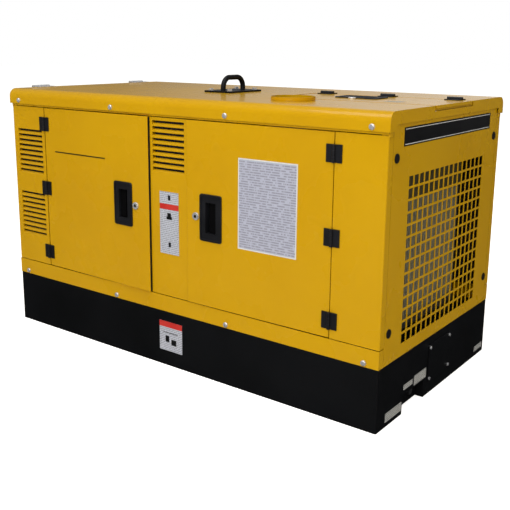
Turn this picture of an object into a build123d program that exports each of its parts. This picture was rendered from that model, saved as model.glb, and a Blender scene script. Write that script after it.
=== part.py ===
from build123d import *
import os

# Engine driven welder: a closed, canopied diesel welding set on a fuel-tank base.
# Origin: on the floor under the middle of the base. +X runs to the radiator end,
# -Y is the service side with the two doors, +Z is up. Millimetres.

# ---- overall layout along the service side ----
left_panel_width = 181.0
left_door_width = 529.0
middle_panel_width = 161.0
right_door_width = 532.0
right_panel_width = 161.0
body_length = (left_panel_width + left_door_width + middle_panel_width
               + right_door_width + right_panel_width)
body_depth = 805.0

# ---- overall layout in height ----
base_height = 191.0
sill_height = 56.0
door_height = 591.0
header_height = 62.0

x_left = -body_length / 2
x_right = body_length / 2
y_front = -body_depth / 2
y_rear = body_depth / 2
z_door_low = base_height + sill_height
z_door_high = z_door_low + door_height
z_roof = z_door_high + header_height
left_hinge_x = x_left + left_panel_width
left_latch_x = left_hinge_x + left_door_width
right_latch_x = left_latch_x + middle_panel_width
right_hinge_x = right_latch_x + right_door_width

# ---- sheet metal ----
sheet = 2.0
panel_gap = 2.5
corner_wrap = 27.0
fold_radius = 2.5
seat_gap = 0.3

# ---- base ----
base_wall = 4.0
base_rim_width = 30.0
base_corner_radius = 5.0
hold_down_inset_x = 82.0
hold_down_inset_y = 52.0
hold_down_radius = 7.0
bearer_width = 60.0
bearer_height = 30.0
drain_pocket_width = 146.0
drain_pocket_height = 58.0
drain_pocket_depth = 26.0
drain_pocket_y = -170.0
base_cover_width = 161.0
base_cover_height = 120.0
base_cover_y = 7.5
base_cover_z = 103.0

# ---- roof ----
roof_overhang = 6.0
roof_edge_radius = 28.0
roof_skirt = 54.0
end_apron = 36.0
hatch_length = 556.0
hatch_half_width = 131.25
hatch_lip = 9.0
hatch_return = 10.0
hatch_slit = 7.0
collar_radius = 68.5
collar_height = 12.0
collar_wall = 2.0
collar_below = 22.0
collar_x = x_right - 420.0
collar_y = -221.0
lifting_plate_x = -45.0
lifting_plate_length = 120.0
lifting_plate_width = 180.0
lifting_plate_thickness = 6.0
lifting_bar = 18.0
lifting_span = 112.0
lifting_height = 54.0

# ---- doors, hinges and locks ----
left_ajar = 1.0
right_ajar = 0.5
door_depth = 20.0
lining_thickness = 20.0
lining_margin = 14.0
landing_gap = 6.5
landing_width = 14.0
leaf_size = 50.0
leaf_thickness = 3.0
barrel_radius = 5.0
pin_radius = 2.5
pin_clearance = 0.05
knuckle_gap = 0.5
knuckle_length = 17.0
hinge_inset = 60.0
low_hinge_inset = 54.0
bezel_width = 87.0
bezel_height = 150.0
bezel_corner = 8.0
bezel_rise = 4.0
pocket_width = 41.0
pocket_height = 98.0
pocket_depth = 30.0
left_handle_reach = 121.0
right_handle_reach = 99.0
lock_offset = 60.0
cup_wall = 2.0
bezel_recess = 2.0
bezel_rim = 7.0
paddle_width = 24.0
paddle_thickness = 4.0
handle_z = base_height + 346.0
lock_head_radius = 12.5
lock_barrel_radius = 9.0
lock_cam_width = 15.0
lock_cam_thickness = 2.5

# ---- louvres and grille ----
louvre_count = 9
louvre_pitch = 18.8
louvre_width = 140.0
louvre_sink = 6.0
louvre_drop = 15.0
louvre_slot = 8.0
louvre_lap = 1.5
louvre_cheek = 1.5
grille_columns = 16
grille_rows = 14
grille_pitch_y = 34.2
grille_pitch_z = 35.2
grille_hole = 28.5
grille_centre_z = base_height + 281.0
plug_radius = 13.0
plug_y = 353.0
plug_low_z = base_height + 93.0
plug_high_z = z_door_high - 65.0

# ---- fasteners ----
bolt_radius = 4.0
bolt_head_radius = 8.5
bolt_head_height = 5.5
bolt_hole_clearance = 0.2
bolt_end_inset = 47.0
bolts_per_side = 4
roof_bolt_drop = 42.0
sill_bolt_rise = 11.0

bolt_pitch = (body_length - 2 * bolt_end_inset) / (bolts_per_side - 1)
bolt_x = [x_left + bolt_end_inset + i * bolt_pitch for i in range(bolts_per_side)]
roof_bolt_z = z_roof - roof_bolt_drop
sill_bolt_z = base_height + sill_bolt_rise

# ---- control end ----
control_width = 600.0
control_top = 50.0
control_bottom = 340.0
control_recess = 82.0
terminal_width = 520.0
terminal_top = 370.0
terminal_bottom = 550.0
terminal_recess = 30.0
cover_width = 660.0
cover_hinge_y = 258.0
cover_leaf = 80.0

# ---- engine and generator ----
crank_z = base_height + 154.0
crank_radius = 30.0
shaft_clearance = 0.05
radiator_inset = 60.0
radiator_thickness = 50.0
radiator_width = 450.0
radiator_low = base_height + 59.0
radiator_high = base_height + 432.0
tank_height = 75.0
shroud_depth = 30.0
fan_radius = 148.0
fan_rise = 115.0
fan_width = 40.0
engine_length = 520.0
engine_half_width = 125.0
engine_front_x = x_right - 222.0
engine_rear_x = engine_front_x - engine_length
block_low = base_height + 99.0
block_high = base_height + 389.0
head_high = block_high + 90.0
head_half_width = 105.0
rocker_high = head_high + 70.0
generator_radius = 150.0
generator_wall = 10.0
generator_length = 420.0
mount_radius = 22.0
mount_height = 45.0


def block(x0, x1, y0, y1, z0, z1, radius=0.0):
    """Upright block between two corners, its vertical edges rounded."""
    with BuildPart() as solid:
        with BuildSketch(Plane.XY.offset(z0)):
            with Locations(((x0 + x1) / 2, (y0 + y1) / 2)):
                if radius:
                    RectangleRounded(x1 - x0, y1 - y0, radius)
                else:
                    Rectangle(x1 - x0, y1 - y0)
        extrude(amount=z1 - z0)
    return solid.part


def rod(radius, start, end, bore=0.0):
    """Round bar or tube between two points."""
    axis = Vector(*end) - Vector(*start)
    with BuildPart() as bar:
        with BuildSketch(Plane(origin=start, z_dir=axis)):
            Circle(radius)
            if bore:
                Circle(bore, mode=Mode.SUBTRACT)
        extrude(amount=axis.length)
    return bar.part


def save(part, name):
    part.label = name
    export_step(part, "parts/" + name + ".step")


def group(name, pieces):
    save(Compound(children=pieces), name)


os.makedirs("parts", exist_ok=True)

# ==== base: a closed tray that stands on the floor ====
inner_length = body_length - 2 * base_wall
inner_depth = body_depth - 2 * base_wall
engine_bearer_x = (engine_rear_x + 60.0, engine_front_x - 80.0)
generator_bearer_x = engine_rear_x - generator_length + 70.0
radiator_x = x_right - radiator_inset - radiator_thickness / 2
reactor_x = x_left + 150.0
bearer_x = (*engine_bearer_x, generator_bearer_x, radiator_x, reactor_x)
battery_tray_x0 = engine_bearer_x[0]
battery_tray_x1 = engine_bearer_x[1]
battery_back = -engine_half_width - 60.0

with BuildPart() as base_frame:
    with BuildSketch():
        Rectangle(body_length, body_depth)
    extrude(amount=base_height)
    fillet(base_frame.edges().filter_by(Axis.Z), base_corner_radius)
    with BuildSketch(Plane.XY.offset(base_wall)):
        Rectangle(inner_length, inner_depth)
    extrude(amount=base_height - base_wall, mode=Mode.SUBTRACT)
    with BuildSketch(Plane.XY.offset(base_height - base_wall)):
        Rectangle(inner_length, inner_depth)
        Rectangle(inner_length - 2 * base_rim_width, inner_depth - 2 * base_rim_width,
                  mode=Mode.SUBTRACT)
    extrude(amount=base_wall)
    with BuildSketch(Plane.XY.offset(base_height - bearer_height)):
        with Locations(*[(x, 0) for x in bearer_x]):
            Rectangle(bearer_width, inner_depth)
    extrude(amount=bearer_height)
    with BuildSketch(Plane.XY.offset(base_height - base_wall)):
        with Locations(((battery_tray_x0 + battery_tray_x1) / 2, (y_front + battery_back) / 2)):
            Rectangle(battery_tray_x1 - battery_tray_x0, battery_back - y_front - 2 * base_wall)
    extrude(amount=base_wall)
    with BuildSketch():
        with Locations((x_right - (drain_pocket_depth + base_wall) / 2, drain_pocket_y)):
            Rectangle(drain_pocket_depth + base_wall, drain_pocket_width + 2 * base_wall)
    extrude(amount=drain_pocket_height + base_wall)
    with BuildSketch():
        with Locations((x_right - drain_pocket_depth / 2, drain_pocket_y)):
            Rectangle(drain_pocket_depth, drain_pocket_width)
    extrude(amount=drain_pocket_height, mode=Mode.SUBTRACT)
    with BuildSketch():
        with GridLocations(body_length - 2 * hold_down_inset_x,
                           body_depth - 2 * hold_down_inset_y, 2, 2):
            Circle(hold_down_radius)
    extrude(amount=base_wall, mode=Mode.SUBTRACT)
    drain_hole_y = (drain_pocket_y - 56.0, drain_pocket_y + 14.0)
    drain_hole_z = 39.0
    drain_radius = 9.0
    with BuildSketch(Plane.YZ.offset(x_right - drain_pocket_depth)):
        with Locations(*[(y, drain_hole_z) for y in drain_hole_y]):
            Circle(drain_radius)
    extrude(amount=-base_wall, mode=Mode.SUBTRACT)
    with BuildSketch(Plane.YZ.offset(x_right)):
        with Locations((base_cover_y, base_cover_z)):
            Rectangle(base_cover_width - 40.0, base_cover_height - 40.0)
    extrude(amount=-base_wall, mode=Mode.SUBTRACT)
save(base_frame.part, "base_frame")

# fuel tank with its filler neck, lying in the base
tank_x0 = x_left + 190.0
tank_x1 = tank_x0 + 860.0
tank_half_width = 320.0
tank_top = base_height - bearer_height - 6.0
tank_wall = 3.0
neck_x = left_hinge_x + 171.0
neck_y = y_front + 102.5
neck_radius = 28.0
neck_top = base_height + 100.0
with BuildPart() as fuel_tank:
    with BuildSketch(Plane.XY.offset(base_wall)):
        with Locations(((tank_x0 + tank_x1) / 2, 0)):
            RectangleRounded(tank_x1 - tank_x0, 2 * tank_half_width, 25.0)
    extrude(amount=tank_top - base_wall)
    with BuildSketch(Plane.XY.offset(tank_top)):
        with Locations((neck_x, neck_y)):
            Circle(neck_radius)
    extrude(amount=neck_top - tank_top)
    with BuildSketch(Plane.XY.offset(base_wall + tank_wall)):
        with Locations(((tank_x0 + tank_x1) / 2, 0)):
            RectangleRounded(tank_x1 - tank_x0 - 2 * tank_wall, 2 * (tank_half_width - tank_wall), 22.0)
    extrude(amount=tank_top - base_wall - 2 * tank_wall, mode=Mode.SUBTRACT)
    with BuildSketch(Plane.XY.offset(tank_top - 2 * tank_wall)):
        with Locations((neck_x, neck_y)):
            Circle(neck_radius - tank_wall)
    extrude(amount=neck_top - tank_top + 2 * tank_wall, mode=Mode.SUBTRACT)
save(fuel_tank.part, "fuel_tank")

with BuildPart() as fuel_cap:
    cap_skirt = 14.0
    with BuildSketch(Plane.XY.offset(neck_top)):
        with Locations((neck_x, neck_y)):
            Circle(neck_radius + 6.0)
    extrude(amount=10.0)
    with BuildSketch(Plane.XY.offset(neck_top - cap_skirt)):
        with Locations((neck_x, neck_y)):
            Circle(neck_radius + 6.0)
            Circle(neck_radius + seat_gap, mode=Mode.SUBTRACT)
    extrude(amount=cap_skirt)
    with BuildSketch(Plane.XY.offset(neck_top + 10.0)):
        with Locations((neck_x, neck_y)):
            Rectangle(12.0, 2 * neck_radius)
    extrude(amount=12.0)
save(fuel_cap.part, "fuel_cap")

# cover plate and drain plugs on the radiator end of the base
cover_screw_y = base_cover_width / 2 - 9.0
cover_screw_z = base_cover_height / 2 - 9.0
cover_plate_thickness = 3.0
with BuildPart() as base_cover_plate:
    with BuildSketch(Plane.YZ.offset(x_right)):
        with Locations((base_cover_y, base_cover_z)):
            RectangleRounded(base_cover_width, base_cover_height, 4.0)
    extrude(amount=cover_plate_thickness)
save(base_cover_plate.part, "base_cover_plate")

drain_plugs = []
for y in drain_hole_y:
    with BuildPart() as plug:
        with BuildSketch(Plane.YZ.offset(x_right - drain_pocket_depth)):
            with Locations((y, drain_hole_z)):
                RegularPolygon(12.0, 6)
        extrude(amount=12.0)
        with BuildSketch(Plane.YZ.offset(x_right - drain_pocket_depth)):
            with Locations((y, drain_hole_z)):
                Circle(drain_radius - pin_clearance)
        extrude(amount=-(base_wall + 14.0))
    drain_plugs.append(plug.part)
group("drain_plugs", drain_plugs)

# ==== canopy frame: sill, header, corner returns and door jambs ====
jamb_width = 34.0
landing_y = y_front + door_depth + landing_gap
front_half = body_length / 2


def sill_or_header(z0, z1, shelf_z):
    """Channel along both long sides that wraps round the corners onto the ends."""
    with BuildPart() as rail:
        for side in (-1, 1):
            outer = side * body_depth / 2
            with BuildSketch(Plane.XY.offset(z0)):
                with Locations((0, outer - side * corner_wrap / 2)):
                    Rectangle(body_length, corner_wrap)
            extrude(amount=z1 - z0)
            with BuildSketch(Plane.XY.offset(z0)):
                with Locations((0, outer - side * (sheet + corner_wrap) / 2)):
                    Rectangle(body_length - 2 * sheet, corner_wrap - sheet)
            extrude(amount=z1 - z0, mode=Mode.SUBTRACT)
            with BuildSketch(Plane.XY.offset(shelf_z)):
                with Locations((0, outer - side * (sheet + corner_wrap) / 2)):
                    Rectangle(body_length - 2 * sheet, corner_wrap - sheet)
            extrude(amount=sheet)
    return rail.part


header_top = z_roof - roof_edge_radius
with BuildPart() as canopy_frame:
    add(sill_or_header(base_height, z_door_low - panel_gap / 2, base_height))
    add(sill_or_header(z_door_high + panel_gap / 2, header_top, header_top - sheet))
    # upright jambs: a web behind each panel edge and the landing behind the door edge
    for side, seams in ((-1, (left_hinge_x, left_latch_x, right_latch_x, right_hinge_x)),
                        (1, (left_hinge_x, 0.0, right_hinge_x))):
        for seam in seams:
            jamb_front = side * (body_depth / 2 - door_depth - landing_gap)
            with BuildSketch(Plane.XY.offset(base_height)):
                with Locations((seam, jamb_front - side * sheet / 2)):
                    Rectangle(2 * landing_width, sheet)
                with Locations((seam, jamb_front - side * (sheet + jamb_width) / 2)):
                    Rectangle(sheet, jamb_width)
            extrude(amount=header_top - base_height)
        # ties from the sill and header out to the jambs, and the lip that carries the roof
        with BuildSketch(Plane.XY.offset(header_top - sheet)):
            with Locations((0, side * (body_depth / 2 - corner_wrap + sheet / 2))):
                Rectangle(body_length - 4 * sheet, sheet)
        extrude(amount=z_roof - header_top)
        for z0 in (base_height, header_top - sheet):
            with BuildSketch(Plane.XY.offset(z0)):
                with Locations(*[(s, side * (body_depth / 2 - corner_wrap)) for s in seams]):
                    Rectangle(2 * landing_width, 2 * jamb_width)
            extrude(amount=sheet)
        cut_outer = side * (body_depth / 2 + jamb_width)
        with BuildSketch(Plane.XY.offset(base_height)):
            with Locations((0, cut_outer)):
                Rectangle(body_length, 2 * jamb_width)
        extrude(amount=z_roof - base_height, mode=Mode.SUBTRACT)
    with BuildSketch(Plane.XZ):
        with Locations(*[(x, z) for x in bolt_x for z in (roof_bolt_z, sill_bolt_z)]):
            Circle(bolt_radius + bolt_hole_clearance)
    extrude(amount=body_depth, both=True, mode=Mode.SUBTRACT)
save(canopy_frame.part, "canopy_frame")

# ==== outer panels ====


def louvre(width):
    """One louvre pressed inwards, its slot opening upwards behind the face at the local origin."""
    with BuildPart() as vane:
        with BuildSketch(Plane.YZ.offset(-width / 2)):
            Polygon((0, -louvre_drop), (louvre_sink, -louvre_slot), (louvre_sink + sheet, -louvre_slot),
                    (sheet, -louvre_drop - louvre_lap), (0, -louvre_drop - louvre_lap), align=None)
        extrude(amount=width)
        for end_x in (-width / 2, width / 2 - louvre_cheek):
            with BuildSketch(Plane.YZ.offset(end_x)):
                Polygon((sheet / 2, 0), (louvre_sink + sheet, -louvre_slot), (sheet / 2, -louvre_drop),
                        align=None)
            extrude(amount=louvre_cheek)
    return vane.part


def louvred_panel(x0, x1, z0, z1, banks, ribs, wrap=0):
    """Side panel from x0 to x1 facing -Y, with returns at ribs; wrap folds it round that end's corner."""
    vane = louvre(louvre_width)
    with BuildPart() as panel:
        with BuildSketch(Plane.XZ.offset(-y_front)):
            with Locations(((x0 + x1) / 2, (z0 + z1) / 2)):
                Rectangle(x1 - x0, z1 - z0)
        extrude(amount=-sheet)
        if wrap:
            edge = x0 if wrap < 0 else x1
            with BuildSketch(Plane.XY.offset(z0)):
                with Locations((edge - wrap * sheet / 2, y_front + corner_wrap / 2)):
                    Rectangle(sheet, corner_wrap)
            extrude(amount=z1 - z0)
            corner = panel.edges().filter_by(Axis.Z).group_by(Axis.Y)[0]
            fillet(corner.sort_by(Axis.X)[-1 if wrap > 0 else 0], fold_radius + sheet)
        # returns that land on the jambs behind
        with BuildSketch(Plane.XY.offset(z0)):
            with Locations(*[(x, (y_front + landing_y) / 2) for x in ribs]):
                Rectangle(sheet, landing_y - y_front)
        extrude(amount=z1 - z0)
        slots = [(x, z - i * louvre_pitch) for x, z in banks for i in range(louvre_count)]
        if slots:
            with BuildSketch(Plane.XZ.offset(-y_front)):
                with Locations(*[(x, z - louvre_drop / 2) for x, z in slots]):
                    Rectangle(louvre_width - 2 * louvre_cheek, louvre_drop)
            extrude(amount=-sheet, mode=Mode.SUBTRACT)
            with Locations(*[(x, y_front, z) for x, z in slots]):
                add(vane)
    return panel.part


panel_z0 = z_door_low + panel_gap / 2
panel_z1 = z_door_high - panel_gap / 2
left_bank_x = x_left + 96.0
middle_bank_x = (left_latch_x + right_latch_x) / 2
upper_bank_z = z_door_high - 84.5
lower_bank_z = upper_bank_z - 237.0
middle_bank_z = z_door_high - 2.5 - louvre_pitch / 2
edge_inset = (panel_gap + sheet) / 2
save(louvred_panel(x_left, left_hinge_x - panel_gap / 2, panel_z0, panel_z1,
                   [(left_bank_x, upper_bank_z), (left_bank_x, lower_bank_z)],
                   [left_hinge_x - edge_inset], wrap=-1), "left_louvre_panel")
save(louvred_panel(left_latch_x + panel_gap / 2, right_latch_x - panel_gap / 2, panel_z0, panel_z1,
                   [(middle_bank_x, middle_bank_z)],
                   [left_latch_x + edge_inset, right_latch_x - edge_inset]), "middle_louvre_panel")
save(louvred_panel(right_hinge_x + panel_gap / 2, x_right, panel_z0, panel_z1, [],
                   [right_hinge_x + edge_inset], wrap=1), "right_blank_panel")

rear_banks = [(left_bank_x, upper_bank_z), (left_bank_x, lower_bank_z),
              (x_right - 250.0, upper_bank_z), (x_right - 250.0, lower_bank_z)]
rear = louvred_panel(x_left, x_right, panel_z0, panel_z1, rear_banks, [left_hinge_x, 0.0, right_hinge_x])
rear = mirror(rear, about=Plane.XZ)
with BuildPart() as rear_panel:
    add(rear)
    for end in (-1, 1):
        with BuildSketch(Plane.XY.offset(panel_z0)):
            with Locations((end * (front_half - sheet / 2), y_rear - corner_wrap / 2)):
                Rectangle(sheet, corner_wrap)
        extrude(amount=panel_z1 - panel_z0)
save(rear_panel.part, "rear_panel")

# radiator end panel with its grille of square holes
end_half = body_depth / 2 - corner_wrap - panel_gap / 2
with BuildPart() as radiator_end_panel:
    with BuildSketch(Plane.YZ.offset(x_right)):
        with Locations((0, (base_height + header_top) / 2)):
            Rectangle(2 * end_half, header_top - base_height)
        with Locations((0, grille_centre_z)):
            with GridLocations(grille_pitch_y, grille_pitch_z, grille_columns, grille_rows):
                RectangleRounded(grille_hole, grille_hole, 2.0, mode=Mode.SUBTRACT)
        with Locations(*[(s * plug_y, z) for s in (-1, 1) for z in (plug_low_z, plug_high_z)]):
            Circle(plug_radius - 3.0, mode=Mode.SUBTRACT)
    extrude(amount=-sheet)
    # folded stiffening returns behind the two long edges
    with BuildSketch(Plane.XY.offset(base_height)):
        with Locations(*[(x_right - 12.0, s * (end_half - sheet / 2)) for s in (-1, 1)]):
            Rectangle(24.0, sheet)
    extrude(amount=header_top - base_height)
    with BuildSketch(Plane.XY.offset(header_top - sheet)):
        with Locations((x_right - 12.0, 0)):
            Rectangle(24.0, 2 * end_half)
    extrude(amount=sheet)
save(radiator_end_panel.part, "radiator_end_panel")

plugs = []
for s in (-1, 1):
    for z in (plug_low_z, plug_high_z):
        with BuildPart() as hole_plug:
            with BuildSketch(Plane.YZ.offset(x_right)):
                with Locations((s * plug_y, z)):
                    Circle(plug_radius)
            extrude(amount=2.5)
            with BuildSketch(Plane.YZ.offset(x_right)):
                with Locations((s * plug_y, z)):
                    Circle(plug_radius - 3.0 - pin_clearance)
            extrude(amount=-8.0)
        plugs.append(hole_plug.part)
group("hole_plugs", plugs)

# control end panel with the windows for the control panel and the terminals
control_z1 = header_top - control_top + 15.0
control_z0 = z_door_high - control_bottom + 15.0
terminal_z1 = z_door_high - terminal_top
terminal_z0 = z_door_high - terminal_bottom
with BuildPart() as control_end_panel:
    with BuildSketch(Plane.YZ.offset(x_left)):
        with Locations((0, (base_height + header_top) / 2)):
            Rectangle(2 * end_half, header_top - base_height)
        with Locations((0, (control_z0 + control_z1) / 2)):
            RectangleRounded(control_width, control_z1 - control_z0, 6.0, mode=Mode.SUBTRACT)
        with Locations((0, (terminal_z0 + terminal_z1) / 2)):
            RectangleRounded(terminal_width, terminal_z1 - terminal_z0, 6.0, mode=Mode.SUBTRACT)
    extrude(amount=sheet)
    with BuildSketch(Plane.XY.offset(base_height)):
        with Locations(*[(x_left + 12.0, s * (end_half - sheet / 2)) for s in (-1, 1)]):
            Rectangle(24.0, sheet)
    extrude(amount=header_top - base_height)
    with BuildSketch(Plane.XY.offset(header_top - sheet)):
        with Locations((x_left + 12.0, 0)):
            Rectangle(24.0, 2 * end_half)
    extrude(amount=sheet)
save(control_end_panel.part, "control_end_panel")

# ==== roof ====
roof_half_x = front_half + roof_overhang
roof_half_y = body_depth / 2 + roof_overhang
skirt_low = z_roof - roof_skirt
hatch_x0 = x_right - hatch_length + roof_overhang
with BuildPart() as roof_panel:
    with BuildSketch(Plane.YZ.offset(-roof_half_x)):
        with Locations((0, (skirt_low + z_roof) / 2)):
            outline = Rectangle(2 * roof_half_y, roof_skirt)
        fillet(outline.vertices().group_by(Axis.Y)[-1], roof_edge_radius)
    extrude(amount=2 * roof_half_x)
    with BuildSketch(Plane.YZ.offset(-roof_half_x + sheet)):
        with Locations((0, (skirt_low + z_roof) / 2 - sheet)):
            hollow = Rectangle(2 * (roof_half_y - sheet), roof_skirt)
        fillet(hollow.vertices().group_by(Axis.Y)[-1], roof_edge_radius - sheet)
    extrude(amount=2 * (roof_half_x - sheet), mode=Mode.SUBTRACT)
    # the end aprons are shorter than the skirts, except at the corners
    with BuildSketch(Plane.XY.offset(skirt_low)):
        with Locations(*[(s * roof_half_x, 0) for s in (-1, 1)]):
            Rectangle(4 * sheet, 2 * (body_depth / 2 - corner_wrap - 5.0))
    extrude(amount=roof_skirt - end_apron, mode=Mode.SUBTRACT)
    # hatch opening, open at the radiator end, and the slit under the hatch lip
    with BuildSketch(Plane.XY.offset(z_roof - sheet)):
        with Locations(((hatch_x0 + roof_half_x) / 2, 0)):
            Rectangle(roof_half_x - hatch_x0, 2 * (hatch_half_width + panel_gap / 2))
    extrude(amount=sheet, mode=Mode.SUBTRACT)
    with BuildSketch(Plane.YZ.offset(roof_half_x)):
        with Locations((0, z_roof - (hatch_lip + hatch_slit) / 2)):
            Rectangle(2 * (hatch_half_width + 9.0), hatch_lip + hatch_slit)
    extrude(amount=-sheet, mode=Mode.SUBTRACT)
    # gutter that carries the closed hatch
    gutter_drop = 16.0
    with BuildSketch(Plane.XY.offset(z_roof - gutter_drop)):
        with Locations(((hatch_x0 + roof_half_x - 3 * sheet) / 2 - 6.0, 0)):
            Rectangle(roof_half_x - hatch_x0 + 12.0, 2 * (hatch_half_width + 12.0))
    extrude(amount=gutter_drop - sheet)
    with BuildSketch(Plane.XY.offset(z_roof - gutter_drop + sheet)):
        with Locations(((hatch_x0 + roof_half_x - 3 * sheet) / 2 - 6.0, 0)):
            Rectangle(roof_half_x - hatch_x0 + 12.0 - 2 * sheet, 2 * (hatch_half_width + 12.0 - sheet))
    extrude(amount=gutter_drop, mode=Mode.SUBTRACT)
    with BuildSketch(Plane.XY.offset(z_roof - gutter_drop)):
        with Locations(((hatch_x0 + roof_half_x - 3 * sheet) / 2 - 6.0, 0)):
            Rectangle(roof_half_x - hatch_x0 - 16.0, 2 * (hatch_half_width - 14.0))
    extrude(amount=gutter_drop, mode=Mode.SUBTRACT)
    # exhaust collar, welded through the roof sheet
    with BuildSketch(Plane.XY.offset(z_roof - collar_below)):
        with Locations((collar_x, collar_y)):
            Circle(collar_radius)
    extrude(amount=collar_below + collar_height)
    with BuildSketch(Plane.XY.offset(z_roof - collar_below)):
        with Locations((collar_x, collar_y)):
            Circle(collar_radius - collar_wall)
    extrude(amount=collar_below + collar_height, mode=Mode.SUBTRACT)
    with BuildSketch(Plane.XZ):
        with Locations(*[(x, roof_bolt_z) for x in bolt_x]):
            Circle(bolt_radius + bolt_hole_clearance)
    extrude(amount=body_depth, both=True, mode=Mode.SUBTRACT)
save(roof_panel.part, "roof_panel")

# lifting plate and bail
plate_top = z_roof + lifting_plate_thickness
lifting_bolt_inset = 18.0
lifting_bolts = [(lifting_plate_x + sx * (lifting_plate_length / 2 - lifting_bolt_inset),
                  sy * (lifting_plate_width / 2 - lifting_bolt_inset))
                 for sx in (-1, 1) for sy in (-1, 1)]
with BuildPart() as lifting_plate:
    with BuildSketch(Plane.XY.offset(z_roof)):
        with Locations((lifting_plate_x, 0)):
            RectangleRounded(lifting_plate_length, lifting_plate_width, 4.0)
    extrude(amount=lifting_plate_thickness)

bend = 34.0
bar_top = plate_top + lifting_height - lifting_bar / 2
with BuildPart() as lifting_eye:
    add(lifting_plate.part)
    with BuildLine():
        FilletPolyline((lifting_plate_x, -lifting_span / 2, plate_top),
                       (lifting_plate_x, -lifting_span / 2, bar_top),
                       (lifting_plate_x, lifting_span / 2, bar_top),
                       (lifting_plate_x, lifting_span / 2, plate_top),
                       radius=bend)
    with BuildSketch(Plane(origin=(lifting_plate_x, -lifting_span / 2, plate_top), z_dir=(0, 0, 1))):
        Circle(lifting_bar / 2)
    sweep()
save(lifting_eye.part, "lifting_eye")

# ==== hinges ====
def leaf(side, z, knuckles):
    """Hinge leaf on the XZ face through the origin: side -1 or +1 of a barrel along Z."""
    axis_y = -barrel_radius
    with BuildPart() as flap:
        with BuildSketch(Plane.XY.offset(z - leaf_size / 2)):
            with Locations((side * leaf_size / 4, -leaf_thickness / 2)):
                Rectangle(leaf_size / 2, leaf_thickness)
        extrude(amount=leaf_size)
        with BuildSketch(Plane.XY.offset(z - leaf_size / 2)):
            with Locations((0, axis_y)):
                Circle(barrel_radius + seat_gap)
        extrude(amount=leaf_size, mode=Mode.SUBTRACT)
        for low, high in knuckles:
            with BuildSketch(Plane.XY.offset(z + low)):
                with Locations((0, axis_y)):
                    Circle(barrel_radius)
                with Locations((side * barrel_radius, -leaf_thickness / 2)):
                    Rectangle(2 * barrel_radius, leaf_thickness)
            extrude(amount=high - low)
        with BuildSketch(Plane.XY.offset(z - leaf_size / 2)):
            with Locations((0, axis_y)):
                Circle(pin_radius + pin_clearance)
            with Locations((-side * barrel_radius, -leaf_thickness / 2 + 0.5)):
                Rectangle(2 * barrel_radius - 2.0, leaf_thickness + 1.0)
        extrude(amount=leaf_size, mode=Mode.SUBTRACT)
    return flap.part


outer_knuckles = ((-leaf_size / 2, -knuckle_length / 2 - knuckle_gap),
                  (knuckle_length / 2 + knuckle_gap, leaf_size / 2))
middle_knuckle = ((-knuckle_length / 2, knuckle_length / 2),)
hinge_z = (z_door_low + low_hinge_inset, (z_door_low + z_door_high) / 2, z_door_high - hinge_inset)
hinge_axis_y = y_front - barrel_radius
with BuildPart() as hinge_pin:
    with BuildSketch(Plane.XY.offset(-leaf_size / 2)):
        with Locations((0, -barrel_radius)):
            Circle(pin_radius)
    extrude(amount=leaf_size)

hatch_hinge_x = [hatch_x0 + 36.0 + i * 232.0 for i in range(3)]
fixed_leaves = []
for hinge_x, side in ((left_hinge_x, -1), (right_hinge_x, 1)):
    for z in hinge_z:
        place = Location((hinge_x, y_front, z))
        fixed_leaves.append(place * leaf(side, 0, outer_knuckles))
        fixed_leaves.append(place * hinge_pin.part)
roof_hinges = [Plane(origin=(x, hatch_half_width, z_roof), x_dir=(0, 1, 0), z_dir=(-1, 0, 0)).location
               for x in hatch_hinge_x]
for place in roof_hinges:
    fixed_leaves.append(place * leaf(1, 0, outer_knuckles))
    fixed_leaves.append(place * hinge_pin.part)
group("fixed_hinge_leaves", fixed_leaves)


# ==== doors ====
paddle_axis_offset = pocket_width / 2 - 5.0
paddle_axis_depth = 8.0
paddle_pin_radius = 2.0
paddle_barrel_radius = 3.5
cup_hole_width = pocket_width + 2 * (cup_wall + seat_gap)
cup_hole_height = pocket_height + 2 * (cup_wall + seat_gap)


def handle_cup(way):
    """Recessed grip on the XZ face through the origin: raised bezel, dished face and finger pocket."""
    with BuildPart() as cup:
        with BuildSketch(Plane.XZ):
            RectangleRounded(bezel_width, bezel_height, bezel_corner)
        extrude(amount=bezel_rise)
        fillet(cup.faces().sort_by(Axis.Y)[0].edges(), 1.8)
        with BuildSketch(Plane.XZ.offset(bezel_rise)):
            RectangleRounded(bezel_width - 2 * bezel_rim, bezel_height - 2 * bezel_rim, bezel_corner / 2)
        extrude(amount=-bezel_recess, mode=Mode.SUBTRACT)
        with BuildSketch(Plane.XZ):
            Rectangle(pocket_width + 2 * cup_wall, pocket_height + 2 * cup_wall)
        extrude(amount=-pocket_depth)
        with BuildSketch(Plane.XZ.offset(bezel_rise)):
            Rectangle(pocket_width, pocket_height)
        extrude(amount=-(bezel_rise + pocket_depth - cup_wall), mode=Mode.SUBTRACT)
        with BuildSketch(Plane.XY.offset(-pocket_height / 2 - cup_wall)):
            with Locations((-way * paddle_axis_offset, paddle_axis_depth)):
                Circle(paddle_pin_radius + pin_clearance)
        extrude(amount=pocket_height + 2 * cup_wall, mode=Mode.SUBTRACT)
    return cup.part


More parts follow.
